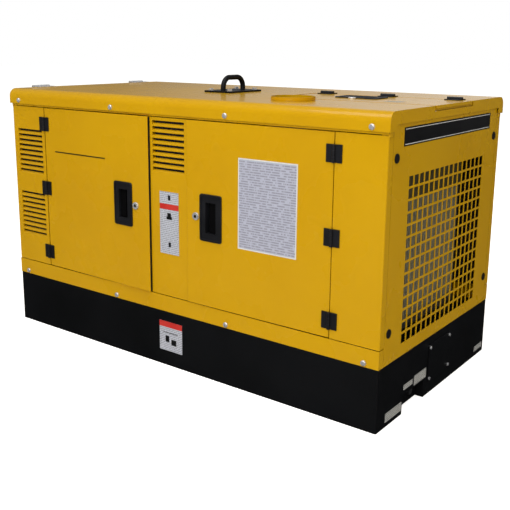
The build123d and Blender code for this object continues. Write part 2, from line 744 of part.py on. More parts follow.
def handle_paddle(way):
    """Finger plate on a pin inside the pocket, free edge towards the latch side."""
    axis_x = -way * paddle_axis_offset
    with BuildPart() as paddle:
        with BuildSketch(Plane.XY.offset(-pocket_height / 2 + 1.0)):
            with Locations((axis_x, paddle_axis_depth)):
                Circle(paddle_barrel_radius)
            with Locations((axis_x + way * paddle_width / 2, paddle_axis_depth - 1.5)):
                Rectangle(paddle_width, paddle_thickness)
        extrude(amount=pocket_height - 2.0)
        with BuildSketch(Plane.XY.offset(-pocket_height / 2 - cup_wall)):
            with Locations((axis_x, paddle_axis_depth)):
                Circle(paddle_pin_radius)
        extrude(amount=pocket_height + 2 * cup_wall)
    return paddle.part


def key_lock(cam_depth, cam_length):
    """Round key lock on the XZ face through the origin, its cam hanging down behind."""
    with BuildPart() as lock:
        with BuildSketch(Plane.XZ):
            Circle(lock_head_radius)
        extrude(amount=5.0)
        fillet(lock.edges().sort_by(Axis.Y)[0], 1.5)
        with BuildSketch(Plane.XZ.offset(5.0)):
            Rectangle(2.5, 10.0)
        extrude(amount=-3.5, mode=Mode.SUBTRACT)
        with BuildSketch(Plane.XZ):
            Circle(lock_barrel_radius)
        extrude(amount=-cam_depth)
        with BuildSketch(Plane.XZ.offset(-cam_depth)):
            with Locations((0, -cam_length / 2 + lock_cam_width / 2)):
                SlotOverall(cam_length + lock_cam_width / 2, lock_cam_width, rotation=90)
        extrude(amount=-lock_cam_thickness)
    return lock.part


def make_door(name, hinge_x, latch_x, handle_reach, ajar, cam_gap):
    way = 1 if latch_x > hinge_x else -1
    width = abs(latch_x - hinge_x) - panel_gap
    height = door_height - panel_gap
    centre = ((hinge_x + latch_x) / 2, (z_door_low + z_door_high) / 2)
    handle_x = latch_x - way * handle_reach
    lock_x = handle_x + way * lock_offset
    hinge_line = Axis((hinge_x, hinge_axis_y, 0), (0, 0, 1))

    with BuildPart() as skin:
        with BuildSketch(Plane.XZ.offset(-y_front)):
            with Locations(centre):
                Rectangle(width, height)
        extrude(amount=-door_depth)
        fillet(skin.faces().sort_by(Axis.Y)[0].edges(), fold_radius)
        with BuildSketch(Plane.XZ.offset(-y_front - sheet)):
            with Locations(centre):
                Rectangle(width - 2 * sheet, height - 2 * sheet)
        extrude(amount=-door_depth, mode=Mode.SUBTRACT)
        with BuildSketch(Plane.XZ.offset(-y_front)):
            with Locations((handle_x, handle_z)):
                Rectangle(cup_hole_width, cup_hole_height)
            with Locations((lock_x, handle_z)):
                Circle(lock_barrel_radius + pin_clearance)
        extrude(amount=-sheet, mode=Mode.SUBTRACT)

    with BuildPart() as lining:
        with BuildSketch(Plane.XZ.offset(-y_front - sheet - seat_gap)):
            with Locations(centre):
                Rectangle(width - 2 * lining_margin, height - 2 * lining_margin)
            with Locations((handle_x, handle_z)):
                Rectangle(pocket_width + 20.0, pocket_height + 20.0, mode=Mode.SUBTRACT)
            with Locations((lock_x, handle_z)):
                Circle(lock_barrel_radius + 6.0, mode=Mode.SUBTRACT)
        extrude(amount=-lining_thickness)

    face = Location((handle_x, y_front, handle_z))
    fittings = [face * handle_cup(way)]
    for z in hinge_z:
        fittings.append(Location((hinge_x, y_front, z)) * leaf(way, 0, middle_knuckle))
    cam_depth = door_depth + landing_gap + sheet + cam_gap
    lock = Location((lock_x, y_front, handle_z)) * key_lock(cam_depth, handle_reach - lock_offset - 5.0)

    def swing(piece):
        return piece.rotate(hinge_line, -way * ajar)

    save(swing(skin.part), name + "_door")
    save(swing(lining.part), name + "_door_lining")
    group(name + "_door_fittings", [swing(piece) for piece in fittings])
    save(swing(face * handle_paddle(way)), name + "_handle")
    save(swing(lock), name + "_lock")


make_door("left", left_hinge_x, left_latch_x, left_handle_reach, left_ajar, 2.5)
make_door("right", right_hinge_x, right_latch_x, right_handle_reach, right_ajar, 5.5)

# ==== roof hatch ====
hatch_handle_x = x_right - 317.0
hatch_handle_y = 17.0
hatch_edge = hatch_half_width - panel_gap / 2
hatch_left = hatch_x0 + panel_gap
hatch_place = Plane(origin=(hatch_handle_x, hatch_handle_y, z_roof), x_dir=(0, 1, 0),
                    z_dir=(-1, 0, 0)).location
lock_place = Plane(origin=(hatch_handle_x, hatch_handle_y - lock_offset, z_roof),
                   x_dir=(0, 1, 0), z_dir=(-1, 0, 0)).location
with BuildPart() as roof_hatch:
    with BuildSketch(Plane.XY.offset(z_roof - sheet)):
        with Locations(((hatch_left + roof_half_x) / 2, 0)):
            Rectangle(roof_half_x - hatch_left, 2 * hatch_edge)
        with Locations((hatch_handle_x, hatch_handle_y)):
            Rectangle(cup_hole_height, cup_hole_width, mode=Mode.SUBTRACT)
        with Locations((hatch_handle_x, hatch_handle_y - lock_offset)):
            Circle(lock_barrel_radius + pin_clearance, mode=Mode.SUBTRACT)
    extrude(amount=sheet)
    with BuildSketch(Plane.XY.offset(z_roof - sheet - hatch_return)):
        with Locations(((hatch_left + x_right - 20.0) / 2, 0)):
            Rectangle(x_right - 20.0 - hatch_left, 2 * hatch_edge)
            Rectangle(x_right - 20.0 - hatch_left - 2 * sheet, 2 * (hatch_edge - sheet), mode=Mode.SUBTRACT)
    extrude(amount=hatch_return)
    with BuildSketch(Plane.YZ.offset(roof_half_x)):
        with Locations((0, z_roof - hatch_lip / 2)):
            Rectangle(2 * hatch_edge, hatch_lip)
    extrude(amount=-sheet)
save(roof_hatch.part, "roof_hatch")
hatch_cam_depth = 23.0
hatch_cam_length = 78.0
hatch_fittings = [hatch_place * handle_cup(-1)]
for place in roof_hinges:
    hatch_fittings.append(place * leaf(-1, 0, middle_knuckle))
group("hatch_fittings", hatch_fittings)
save(hatch_place * handle_paddle(-1), "hatch_handle")
save(lock_place * key_lock(hatch_cam_depth, hatch_cam_length), "hatch_lock")

# ==== bolts with domed heads along the roof skirts and sills, and the cover plate's screws ====
bolt_stub = 6.0
bolts = []
for side in (-1, 1):
    for face_y, z, reach in ((roof_half_y, roof_bolt_z, roof_overhang + sheet + bolt_stub),
                             (body_depth / 2, sill_bolt_z, sheet + bolt_stub)):
        for x in bolt_x:
            plane = Plane(origin=(x, side * face_y, z), z_dir=(0, side, 0))
            with BuildPart() as bolt:
                with BuildSketch(plane):
                    Circle(bolt_head_radius)
                extrude(amount=bolt_head_height)
                fillet(bolt.edges().sort_by(Axis.Y)[0 if side < 0 else -1], 3.5)
                with BuildSketch(plane):
                    Circle(bolt_radius)
                extrude(amount=-reach)
            bolts.append(bolt.part)
screw_head_radius = 5.0
screw_head_height = 3.0
for sy in (-1, 1):
    for sz in (-1, 1):
        start = (x_right + cover_plate_thickness, base_cover_y + sy * cover_screw_y,
                 base_cover_z + sz * cover_screw_z)
        bolts.append(rod(screw_head_radius, start, (start[0] + screw_head_height, start[1], start[2])))
lifting_nut_radius = 9.0
lifting_nut_height = 7.0
for x, y in lifting_bolts:
    with BuildPart() as nut:
        with BuildSketch(Plane.XY.offset(plate_top)):
            with Locations((x, y)):
                RegularPolygon(lifting_nut_radius, 6)
        extrude(amount=lifting_nut_height)
    bolts.append(nut.part)
group("canopy_bolts", bolts)

# ==== control end: panel tray, instruments, sockets, terminals ====
fascia_x = x_left + control_recess
panel_z = (control_z0 + control_z1) / 2
control_height = control_z1 - control_z0
dial_y, mode_y, key_y, stop_y = 190.0, 70.0, -50.0, -180.0
switch_z = panel_z - 30.0
socket_z = panel_z - 115.0
socket_y = (-20.0, -120.0, -220.0)
socket_radius = 34.0
breaker_y = 150.0
dial_shaft = 5.0
key_shaft = 8.0
stop_shaft = 10.0
with BuildPart() as control_panel:
    with BuildSketch(Plane.YZ.offset(fascia_x)):
        with Locations((0, panel_z)):
            Rectangle(control_width, control_height)
        for y, radius in ((dial_y, dial_shaft), (mode_y, dial_shaft),
                          (key_y, key_shaft), (stop_y, stop_shaft)):
            with Locations((y, switch_z)):
                Circle(radius + pin_clearance, mode=Mode.SUBTRACT)
        with Locations(*[(y, socket_z) for y in socket_y]):
            Circle(socket_radius - 6.0, mode=Mode.SUBTRACT)
    extrude(amount=sheet)
    with BuildSketch(Plane.YZ.offset(x_left + sheet)):
        with Locations((0, panel_z)):
            Rectangle(control_width + 2 * sheet, control_height + 2 * sheet)
            Rectangle(control_width, control_height, mode=Mode.SUBTRACT)
    extrude(amount=control_recess)
    with BuildSketch(Plane.YZ.offset(x_left + sheet)):
        with Locations((0, panel_z)):
            Rectangle(control_width + 24.0, control_height + 16.0)
            Rectangle(control_width, control_height, mode=Mode.SUBTRACT)
    extrude(amount=sheet)
save(control_panel.part, "control_panel")

meter_size = 72.0
meter_y = (230.0, 140.0, 50.0, -40.0)
meter_z = control_z1 - 62.0
instruments = []
for y in meter_y:
    with BuildPart() as meter:
        with BuildSketch(Plane.YZ.offset(fascia_x)):
            with Locations((y, meter_z)):
                RectangleRounded(meter_size, meter_size, 5.0)
        extrude(amount=-12.0)
        with BuildSketch(Plane.YZ.offset(fascia_x - 12.0)):
            with Locations((y, meter_z)):
                RectangleRounded(meter_size - 10.0, meter_size - 10.0, 3.0)
        extrude(amount=2.5, mode=Mode.SUBTRACT)
    instruments.append(meter.part)
for i in range(6):
    y, z = -110.0 - (i % 3) * 60.0, meter_z + (18.0 if i < 3 else -18.0)
    instruments.append(rod(8.0, (fascia_x, y, z), (fascia_x - 9.0, y, z)))
with BuildPart() as breaker_body:
    with BuildSketch(Plane.YZ.offset(fascia_x)):
        with Locations((breaker_y, socket_z)):
            Rectangle(90.0, 76.0)
            Rectangle(64.0, 26.0, mode=Mode.SUBTRACT)
    extrude(amount=-14.0)
instruments.append(breaker_body.part)
group("panel_instruments", instruments)

sockets = []
for y in socket_y:
    with BuildPart() as socket:
        with BuildSketch(Plane.YZ.offset(fascia_x)):
            with Locations((y, socket_z)):
                RectangleRounded(84.0, 84.0, 8.0)
        extrude(amount=-8.0)
        with BuildSketch(Plane.YZ.offset(fascia_x - 8.0)):
            with Locations((y, socket_z)):
                Circle(socket_radius)
        extrude(amount=-26.0)
        with BuildSketch(Plane.YZ.offset(fascia_x - 34.0)):
            with Locations((y, socket_z)):
                Circle(socket_radius - 5.0)
        extrude(amount=30.0, mode=Mode.SUBTRACT)
        with BuildSketch(Plane.YZ.offset(fascia_x - 4.0)):
            with Locations((y, socket_z)):
                with PolarLocations(13.0, 3):
                    Circle(3.0)
        extrude(amount=-20.0)
    sockets.append(socket.part)
group("power_sockets", sockets)

board_x = x_left + terminal_recess
board_z = (terminal_z0 + terminal_z1) / 2
board_thickness = 8.0
terminal_y = (-170.0, 0.0, 170.0)
stud_hole_radius = 8.2
frame_lip = 8.0
board_fit = 0.05
with BuildPart() as terminal_board:
    with BuildSketch(Plane.YZ.offset(board_x)):
        with Locations((0, board_z)):
            Rectangle(terminal_width, terminal_z1 - terminal_z0)
        with Locations(*[(y, board_z) for y in terminal_y]):
            Circle(stud_hole_radius, mode=Mode.SUBTRACT)
    extrude(amount=board_thickness)
    with BuildSketch(Plane.YZ.offset(x_left + sheet)):
        with Locations((0, board_z)):
            Rectangle(terminal_width + 2 * frame_lip, terminal_z1 - terminal_z0 + 2 * frame_lip)
            Rectangle(terminal_width - 2 * board_fit, terminal_z1 - terminal_z0 - 2 * board_fit,
                      mode=Mode.SUBTRACT)
    extrude(amount=terminal_recess - sheet + board_thickness)
save(terminal_board.part, "terminal_board")

stud_radius = 8.0
stud_end_radius = 7.0
stud_end_length = 10.0
stud_back = 24.0
stud_washer_radius = 22.0
stud_washer = 4.0
stud_nut_radius = 15.0
stud_bore = stud_radius + seat_gap / 3
outer_nut = (board_x - stud_washer - 12.0, board_x - stud_washer - 1.0)
inner_nut = (board_x + board_thickness, board_x + board_thickness + 10.0)
stud_shoulder_x = outer_nut[0]
stud_tip_x = stud_shoulder_x - stud_end_length
stud_inner_x = board_x + board_thickness + stud_back
studs = []
for y in terminal_y:
    with BuildPart() as stud:
        add(rod(stud_radius, (stud_shoulder_x, y, board_z), (stud_inner_x, y, board_z)))
        add(rod(stud_end_radius, (stud_tip_x, y, board_z), (stud_shoulder_x, y, board_z)))
    studs.append(stud.part)
    studs.append(rod(stud_washer_radius, (board_x, y, board_z), (board_x - stud_washer, y, board_z),
                     bore=stud_bore))
    for low, high in (outer_nut, inner_nut):
        with BuildPart() as stud_nut:
            with BuildSketch(Plane.YZ.offset(low)):
                with Locations((y, board_z)):
                    RegularPolygon(stud_nut_radius, 6)
                    Circle(stud_bore, mode=Mode.SUBTRACT)
            extrude(amount=high - low)
        studs.append(stud_nut.part)
group("welding_terminals", studs)


def panel_knob(y, z, shaft, radius, height, pointer):
    """Round knob on the fascia with its shaft through the sheet and a raised pointer bar."""
    with BuildPart() as knob:
        with BuildSketch(Plane.YZ.offset(fascia_x - 1.0)):
            with Locations((y, z)):
                Circle(radius)
        extrude(amount=-height)
        fillet(knob.edges().sort_by(Axis.X)[0], 2.0)
        with BuildSketch(Plane.YZ.offset(fascia_x - 1.0 - height)):
            with Locations((y, z)):
                Rectangle(pointer, 2 * radius - 8.0)
        extrude(amount=-6.0)
        with BuildSketch(Plane.YZ.offset(fascia_x - 1.0)):
            with Locations((y, z)):
                Circle(shaft)
        extrude(amount=14.0)
    return knob.part


save(panel_knob(dial_y, switch_z, dial_shaft, 32.0, 20.0, 8.0), "current_dial")
save(panel_knob(mode_y, switch_z, dial_shaft, 20.0, 14.0, 9.0), "mode_switch")
save(panel_knob(key_y, switch_z, key_shaft, 13.0, 6.0, 3.0), "key_switch")

stop_travel = 6.0
with BuildPart() as emergency_stop:
    with BuildSketch(Plane.YZ.offset(fascia_x - stop_travel - 4.0)):
        with Locations((stop_y, switch_z)):
            Circle(20.0)
    extrude(amount=-14.0)
    fillet(emergency_stop.edges().sort_by(Axis.X)[0], 5.0)
    with BuildSketch(Plane.YZ.offset(fascia_x - stop_travel - 4.0)):
        with Locations((stop_y, switch_z)):
            Circle(stop_shaft)
    extrude(amount=stop_travel + 16.0)
save(emergency_stop.part, "emergency_stop")

breaker_axis_x = fascia_x - 5.0 - seat_gap
with BuildPart() as breaker_lever:
    with BuildSketch(Plane.XZ.offset(-(breaker_y - 30.0))):
        with Locations((breaker_axis_x, socket_z)):
            Circle(5.0)
        with Locations((breaker_axis_x - 11.0, socket_z)):
            Rectangle(22.0, 6.0)
    extrude(amount=-60.0)
save(breaker_lever.part, "breaker_lever")

# electronics box on the back of the control panel
box_depth = 110.0
with BuildPart() as regulator_box:
    with BuildSketch(Plane.YZ.offset(fascia_x + sheet)):
        with Locations((0, panel_z)):
            Rectangle(control_width - 30.0, control_height - 20.0)
    extrude(amount=box_depth)
    with BuildSketch(Plane.YZ.offset(fascia_x + sheet)):
        with Locations((0, panel_z)):
            Rectangle(control_width - 30.0 - 2 * sheet, control_height - 20.0 - 2 * sheet)
    extrude(amount=box_depth - sheet, mode=Mode.SUBTRACT)
save(regulator_box.part, "regulator_box")

# reactor that smooths the welding current
with BuildPart() as welding_reactor:
    add(block(reactor_x - 60.0, reactor_x + 60.0, -110.0, 110.0, base_height, base_height + 180.0))
    for y in (-55.0, 55.0):
        add(block(reactor_x - 75.0, reactor_x + 75.0, y - 40.0, y + 40.0, base_height + 35.0,
                  base_height + 145.0, 20.0))
save(welding_reactor.part, "welding_reactor")

# top-hung cover over the control panel
cover_hinge_x = -roof_half_x - barrel_radius
cover_hinge_z = z_roof + leaf_thickness
cover_face_x = cover_hinge_x - leaf_thickness
cover_leaf_x = cover_face_x - sheet + leaf_thickness / 2
cover_top = z_roof - 8.0
cover_low = control_z0 - 22.0
with BuildPart() as panel_cover:
    with BuildSketch(Plane.YZ.offset(cover_hinge_x)):
        with Locations((0, (cover_low + cover_top) / 2)):
            RectangleRounded(cover_width, cover_top - cover_low, 6.0)
    extrude(amount=-sheet)
    return_depth = x_left - cover_hinge_x - 1.0
    return_top = skirt_low - 6.0
    with BuildSketch(Plane.YZ.offset(cover_hinge_x)):
        with Locations((0, (cover_low + return_top) / 2)):
            Rectangle(cover_width, return_top - cover_low)
            with Locations((0, sheet)):
                Rectangle(cover_width - 2 * sheet, return_top - cover_low, mode=Mode.SUBTRACT)
    extrude(amount=return_depth)
save(panel_cover.part, "panel_cover")

cover_leaves = []
for y in (-cover_hinge_y, cover_hinge_y):
    third = cover_leaf / 3
    with BuildPart() as fixed:
        with BuildSketch(Plane.XY.offset(z_roof)):
            with Locations((-roof_half_x + 18.0, y)):
                Rectangle(36.0, cover_leaf)
        extrude(amount=leaf_thickness)
        with BuildSketch(Plane.XZ.offset(-(y - third / 2 + knuckle_gap))):
            with Locations((cover_hinge_x, cover_hinge_z)):
                Circle(barrel_radius)
            with Locations((cover_hinge_x + barrel_radius, cover_hinge_z - leaf_thickness / 2)):
                Rectangle(2 * barrel_radius, leaf_thickness)
        extrude(amount=-(third - 2 * knuckle_gap))
        with BuildSketch(Plane.XZ.offset(-(y - cover_leaf / 2))):
            with Locations((cover_hinge_x, cover_hinge_z)):
                Circle(pin_radius + pin_clearance)
        extrude(amount=-cover_leaf, mode=Mode.SUBTRACT)
    with BuildPart() as moving:
        with BuildSketch(Plane.YZ.offset(cover_face_x + leaf_thickness - sheet)):
            with Locations((y, cover_top - 18.0)):
                Rectangle(cover_leaf, 36.0)
        extrude(amount=-leaf_thickness)
        for shift in (-third, third):
            with BuildSketch(Plane.XZ.offset(-(y + shift - third / 2 + knuckle_gap))):
                with Locations((cover_hinge_x, cover_hinge_z)):
                    Circle(barrel_radius)
                with Locations((cover_leaf_x, (cover_top + cover_hinge_z) / 2)):
                    Rectangle(leaf_thickness, cover_hinge_z - cover_top)
            extrude(amount=-(third - 2 * knuckle_gap))
        with BuildSketch(Plane.XZ.offset(-(y - cover_leaf / 2))):
            with Locations((cover_hinge_x, cover_hinge_z)):
                Circle(pin_radius + pin_clearance)
        extrude(amount=-cover_leaf, mode=Mode.SUBTRACT)
    cover_leaves.append((fixed.part, moving.part))
cover_pins = [rod(pin_radius, (cover_hinge_x, y - cover_leaf / 2, cover_hinge_z),
                  (cover_hinge_x, y + cover_leaf / 2, cover_hinge_z))
              for y in (-cover_hinge_y, cover_hinge_y)]
group("cover_hinge_fixed", [pair[0] for pair in cover_leaves] + cover_pins)
group("cover_hinge_moving", [pair[1] for pair in cover_leaves])

# ==== engine, generator and cooling ====
mount_points = [(x, s * 170.0) for x in engine_bearer_x for s in (-1, 1)]
mount_points += [(generator_bearer_x, s * 150.0) for s in (-1, 1)]
mount_top = base_height + mount_height
bracket_thickness = 10.0
foot_half = 30.0
foot_web = 12.0
foot_web_rise = 60.0
engine_foot_reach = 200.0
generator_foot_reach = 178.0
group("engine_mounts", [rod(mount_radius, (x, y, base_height), (x, y, mount_top)) for x, y in mount_points])

fan_shaft = 10.0
fan_z = crank_z + fan_rise
fan_bore_depth = 60.0
with BuildPart() as engine_block:
    add(block(engine_rear_x, engine_front_x, -engine_half_width, engine_half_width, block_low, block_high))
    for x in engine_bearer_x:
        for s in (-1, 1):
            foot = sorted((s * engine_half_width, s * engine_foot_reach))
            web = sorted((s * engine_half_width, s * (engine_half_width + foot_web)))
            add(block(x - foot_half, x + foot_half, *foot, mount_top, mount_top + bracket_thickness))
            add(block(x - foot_half, x + foot_half, *web, mount_top, block_low + foot_web_rise))
    with BuildSketch(Plane.YZ.offset(engine_rear_x)):
        with Locations((0, crank_z)):
            Circle(crank_radius + shaft_clearance)
    extrude(amount=engine_length, mode=Mode.SUBTRACT)
    with BuildSketch(Plane.YZ.offset(engine_front_x)):
        with Locations((0, fan_z)):
            Circle(fan_shaft + shaft_clearance)
    extrude(amount=-fan_bore_depth, mode=Mode.SUBTRACT)
save(engine_block.part, "engine_block")

with BuildPart() as oil_pan:
    add(block(engine_rear_x + 10.0, engine_front_x - 10.0, -100.0, 100.0, block_low - 30.0, block_low))
    add(block(engine_rear_x + 150.0, engine_front_x - 130.0, -90.0, 90.0, base_height + 6.0,
              block_low - 30.0, 15.0))
save(oil_pan.part, "oil_pan")

with BuildPart() as head_casting:
    add(block(engine_rear_x + 20.0, engine_front_x - 20.0, -head_half_width, head_half_width, block_high,
              head_high, 8.0))
with BuildPart() as rocker_cover:
    add(block(engine_rear_x + 40.0, engine_front_x - 40.0, -70.0, 70.0, head_high, rocker_high, 20.0))
    fillet(rocker_cover.faces().sort_by(Axis.Z)[-1].edges(), 14.0)
group("cylinder_head", [head_casting.part, rocker_cover.part])

generator_x0 = engine_rear_x - generator_length
bell_thickness = 12.0
with BuildPart() as generator_housing:
    with BuildSketch(Plane.YZ.offset(generator_x0)):
        with Locations((0, crank_z)):
            Circle(generator_radius)
            Circle(generator_radius - generator_wall, mode=Mode.SUBTRACT)
    extrude(amount=generator_length)
    with BuildSketch(Plane.YZ.offset(generator_x0)):
        with Locations((0, crank_z)):
            Circle(generator_radius)
            Circle(crank_radius + shaft_clearance, mode=Mode.SUBTRACT)
            with PolarLocations(generator_radius * 0.6, 8):
                Circle(18.0, mode=Mode.SUBTRACT)
    extrude(amount=bell_thickness)
    for s in (-1, 1):
        foot = sorted((s * (generator_radius - generator_wall - 36.0), s * generator_foot_reach))
        add(block(generator_bearer_x - foot_half, generator_bearer_x + foot_half, *foot,
                  mount_top, mount_top + bracket_thickness))
    with BuildSketch(Plane.YZ.offset(generator_x0 + bell_thickness)):
        with Locations((0, crank_z)):
            Circle(generator_radius - generator_wall)
    extrude(amount=generator_length - bell_thickness, mode=Mode.SUBTRACT)
    with BuildSketch(Plane.YZ.offset(generator_x0 + 90.0)):
        with Locations((0, crank_z)):
            Circle(generator_radius - generator_wall)
            Circle(generator_radius - generator_wall - 22.0, mode=Mode.SUBTRACT)
    extrude(amount=220.0)
save(generator_housing.part, "generator_housing")

pulley_width = 30.0
pulley_x = engine_front_x + 6.0
crank_pulley_radius = 70.0
belt_groove_width = 12.0
belt_groove_depth = 8.0
fan_pulley_radius = 40.0
with BuildPart() as crankshaft:
    add(rod(crank_radius, (generator_x0 - 10.0, 0, crank_z), (pulley_x + pulley_width + 6.0, 0, crank_z)))
    add(rod(generator_radius - generator_wall - 24.0, (generator_x0 + 90.0, 0, crank_z),
            (generator_x0 + 310.0, 0, crank_z)))
    add(rod(generator_radius - generator_wall - 8.0, (engine_rear_x - 60.0, 0, crank_z),
            (engine_rear_x - 25.0, 0, crank_z)))
    add(rod(crank_pulley_radius, (pulley_x, 0, crank_z), (pulley_x + pulley_width, 0, crank_z)))
    with BuildSketch(Plane.XZ):
        with Locations((pulley_x + pulley_width / 2, crank_z + crank_pulley_radius)):
            Rectangle(belt_groove_width, 2 * belt_groove_depth)
    revolve(axis=Axis((0, 0, crank_z), (1, 0, 0)), mode=Mode.SUBTRACT)
save(crankshaft.part, "crankshaft")

radiator_face = x_right - radiator_inset
core_back = radiator_face - radiator_thickness
shroud_x0 = core_back - shroud_depth
fan_x0 = shroud_x0 - 22.0
blade_count = 7
blade_root = 36.0
with BuildPart() as cooling_fan:
    add(rod(fan_shaft, (engine_front_x - fan_bore_depth + 5.0, 0, fan_z), (fan_x0 + fan_width, 0, fan_z)))
    add(rod(fan_pulley_radius, (pulley_x, 0, fan_z), (pulley_x + pulley_width, 0, fan_z)))
    with BuildSketch(Plane.XZ):
        with Locations((pulley_x + pulley_width / 2, fan_z + fan_pulley_radius)):
            Rectangle(belt_groove_width, 2 * belt_groove_depth)
    revolve(axis=Axis((0, 0, fan_z), (1, 0, 0)), mode=Mode.SUBTRACT)
    add(rod(42.0, (fan_x0, 0, fan_z), (fan_x0 + fan_width, 0, fan_z)))
    for i in range(blade_count):
        blade = Box(4.0, 66.0, fan_radius - blade_root, align=(Align.CENTER, Align.CENTER, Align.MIN),
                    mode=Mode.PRIVATE)
        blade = Pos(0, 0, blade_root) * (Rot(0, 0, 55) * blade)
        add(Pos(fan_x0 + fan_width / 2, 0, fan_z) * (Rot(i * 360.0 / blade_count, 0, 0) * blade))
save(cooling_fan.part, "cooling_fan")

half_core = radiator_width / 2
radiator_side = 7.0
radiator_foot_y = 180.0
lower_tank_height = 28.0
save(block(core_back, radiator_face, -half_core, half_core, radiator_low, radiator_high), "radiator_core")
filler_x = radiator_x
filler_top = radiator_high + tank_height + 22.0
with BuildPart() as radiator_tanks:
    add(block(core_back - 6.0, radiator_face + 6.0, -half_core - radiator_side, half_core + radiator_side,
              radiator_high, radiator_high + tank_height, 8.0))
    add(block(core_back - 4.0, radiator_face + 4.0, -half_core - radiator_side, half_core + radiator_side,
              radiator_low - lower_tank_height, radiator_low, 4.0))
    for s in (-1, 1):
        side = sorted((s * half_core, s * (half_core + radiator_side)))
        add(block(core_back, radiator_face, *side, radiator_low, radiator_high))
        add(block(core_back, radiator_face, s * radiator_foot_y - 25.0, s * radiator_foot_y + 25.0,
                  base_height, radiator_low - lower_tank_height))
    add(rod(18.0, (filler_x, 0, radiator_high + tank_height), (filler_x, 0, filler_top)))
save(radiator_tanks.part, "radiator_tanks")

with BuildPart() as radiator_cap:
    add(rod(27.0, (filler_x, 0, filler_top), (filler_x, 0, filler_top + 7.0)))
    add(rod(24.0, (filler_x, 0, filler_top - 8.0), (filler_x, 0, filler_top), bore=18.0 + seat_gap))
    add(block(filler_x - 40.0, filler_x + 40.0, -6.0, 6.0, filler_top + 3.0, filler_top + 7.0))
save(radiator_cap.part, "radiator_cap")

fan_opening = fan_radius + 7.0
shroud_z0 = radiator_low + 5.0
shroud_z1 = radiator_high - 5.0
with BuildPart() as fan_shroud:
    add(block(shroud_x0, core_back, -half_core, half_core, shroud_z0, shroud_z1))
    with BuildSketch(Plane.YZ.offset(shroud_x0 + sheet)):
        with Locations((0, (shroud_z0 + shroud_z1) / 2)):
            Rectangle(2 * (half_core - sheet), shroud_z1 - shroud_z0 - 2 * sheet)
    extrude(amount=shroud_depth, mode=Mode.SUBTRACT)
    with BuildSketch(Plane.YZ.offset(shroud_x0)):
        with Locations((0, fan_z)):
            Circle(fan_opening)
    extrude(amount=sheet, mode=Mode.SUBTRACT)
save(fan_shroud.part, "fan_shroud")

# exhaust: manifold, riser, silencer and outlet pipe up into the roof collar
silencer_radius = 58.0
silencer_z = z_door_high - 36.0
silencer_x0 = collar_x - 160.0
silencer_x1 = collar_x + 160.0
outlet_radius = 30.0
outlet_bore = 27.0
manifold_y = -130.0
manifold_x = silencer_x0 - 50.0
manifold_top = head_high - 20.0
with BuildPart() as muffler:
    add(rod(silencer_radius, (silencer_x0, collar_y, silencer_z), (silencer_x1, collar_y, silencer_z)))
    fillet(muffler.edges().filter_by(GeomType.CIRCLE), 10.0)
    add(rod(outlet_radius, (collar_x, collar_y, silencer_z), (collar_x, collar_y, z_roof + 4.0)))
    with BuildSketch(Plane.XY.offset(silencer_z + 20.0)):
        with Locations((collar_x, collar_y)):
            Circle(outlet_bore)
    extrude(amount=z_roof - silencer_z, mode=Mode.SUBTRACT)
    with BuildLine():
        FilletPolyline((manifold_x, manifold_y, manifold_top), (manifold_x, manifold_y, silencer_z - 60.0),
                       (manifold_x, collar_y, silencer_z), (silencer_x0 + 6.0, collar_y, silencer_z),
                       radius=36.0)
    with BuildSketch(Plane(origin=(manifold_x, manifold_y, manifold_top), z_dir=(0, 0, 1))):
        Circle(22.0)
    sweep()
    add(block(engine_rear_x + 60.0, engine_front_x - 70.0, -147.0, -head_half_width, head_high - 66.0,
              manifold_top, 8.0))
save(muffler.part, "muffler")

# air filter with its strap and intake pipe
filter_radius = 70.0
filter_y = 225.0
filter_z = z_door_high - 60.0
filter_x0 = engine_rear_x + 160.0
filter_x1 = filter_x0 + 280.0
intake_x = filter_x0 - 70.0
with BuildPart() as air_filter:
    add(rod(filter_radius, (filter_x0, filter_y, filter_z), (filter_x1, filter_y, filter_z)))
    fillet(air_filter.edges().filter_by(GeomType.CIRCLE), 8.0)
    with BuildLine():
        FilletPolyline((filter_x0 + 6.0, filter_y, filter_z), (intake_x, filter_y, filter_z),
                       (intake_x, 190.0, head_high - 40.0), (intake_x, head_half_width, head_high - 40.0),
                       radius=32.0)
    with BuildSketch(Plane(origin=(filter_x0 + 6.0, filter_y, filter_z), z_dir=(-1, 0, 0))):
        Circle(26.0)
    sweep()
    strap_x = (filter_x0 + filter_x1) / 2
    add(block(strap_x - 20.0, strap_x + 20.0, 105.0, filter_y + 4.0, head_high - 20.0, head_high - 14.0))
    add(block(strap_x - 20.0, strap_x + 20.0, filter_y - 4.0, filter_y + 4.0, head_high - 20.0,
              filter_z - filter_radius + 4.0))
save(air_filter.part, "air_filter")

battery_length, battery_width, battery_height = 260.0, 165.0, 200.0
battery_x = (battery_tray_x0 + battery_tray_x1) / 2
battery_y = battery_back - battery_width / 2 - 5.0
with BuildPart() as battery:
    add(block(battery_x - battery_length / 2, battery_x + battery_length / 2, battery_y - battery_width / 2,
              battery_y + battery_width / 2, base_height, base_height + battery_height, 6.0))
    for s in (-1, 1):
        post = (battery_x + s * 95.0, battery_y + 45.0)
        add(rod(8.0, (*post, base_height + battery_height), (*post, base_height + battery_height + 16.0)))
save(battery.part, "battery")
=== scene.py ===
import math
import random
import bpy
import bmesh
from mathutils import Matrix, Vector


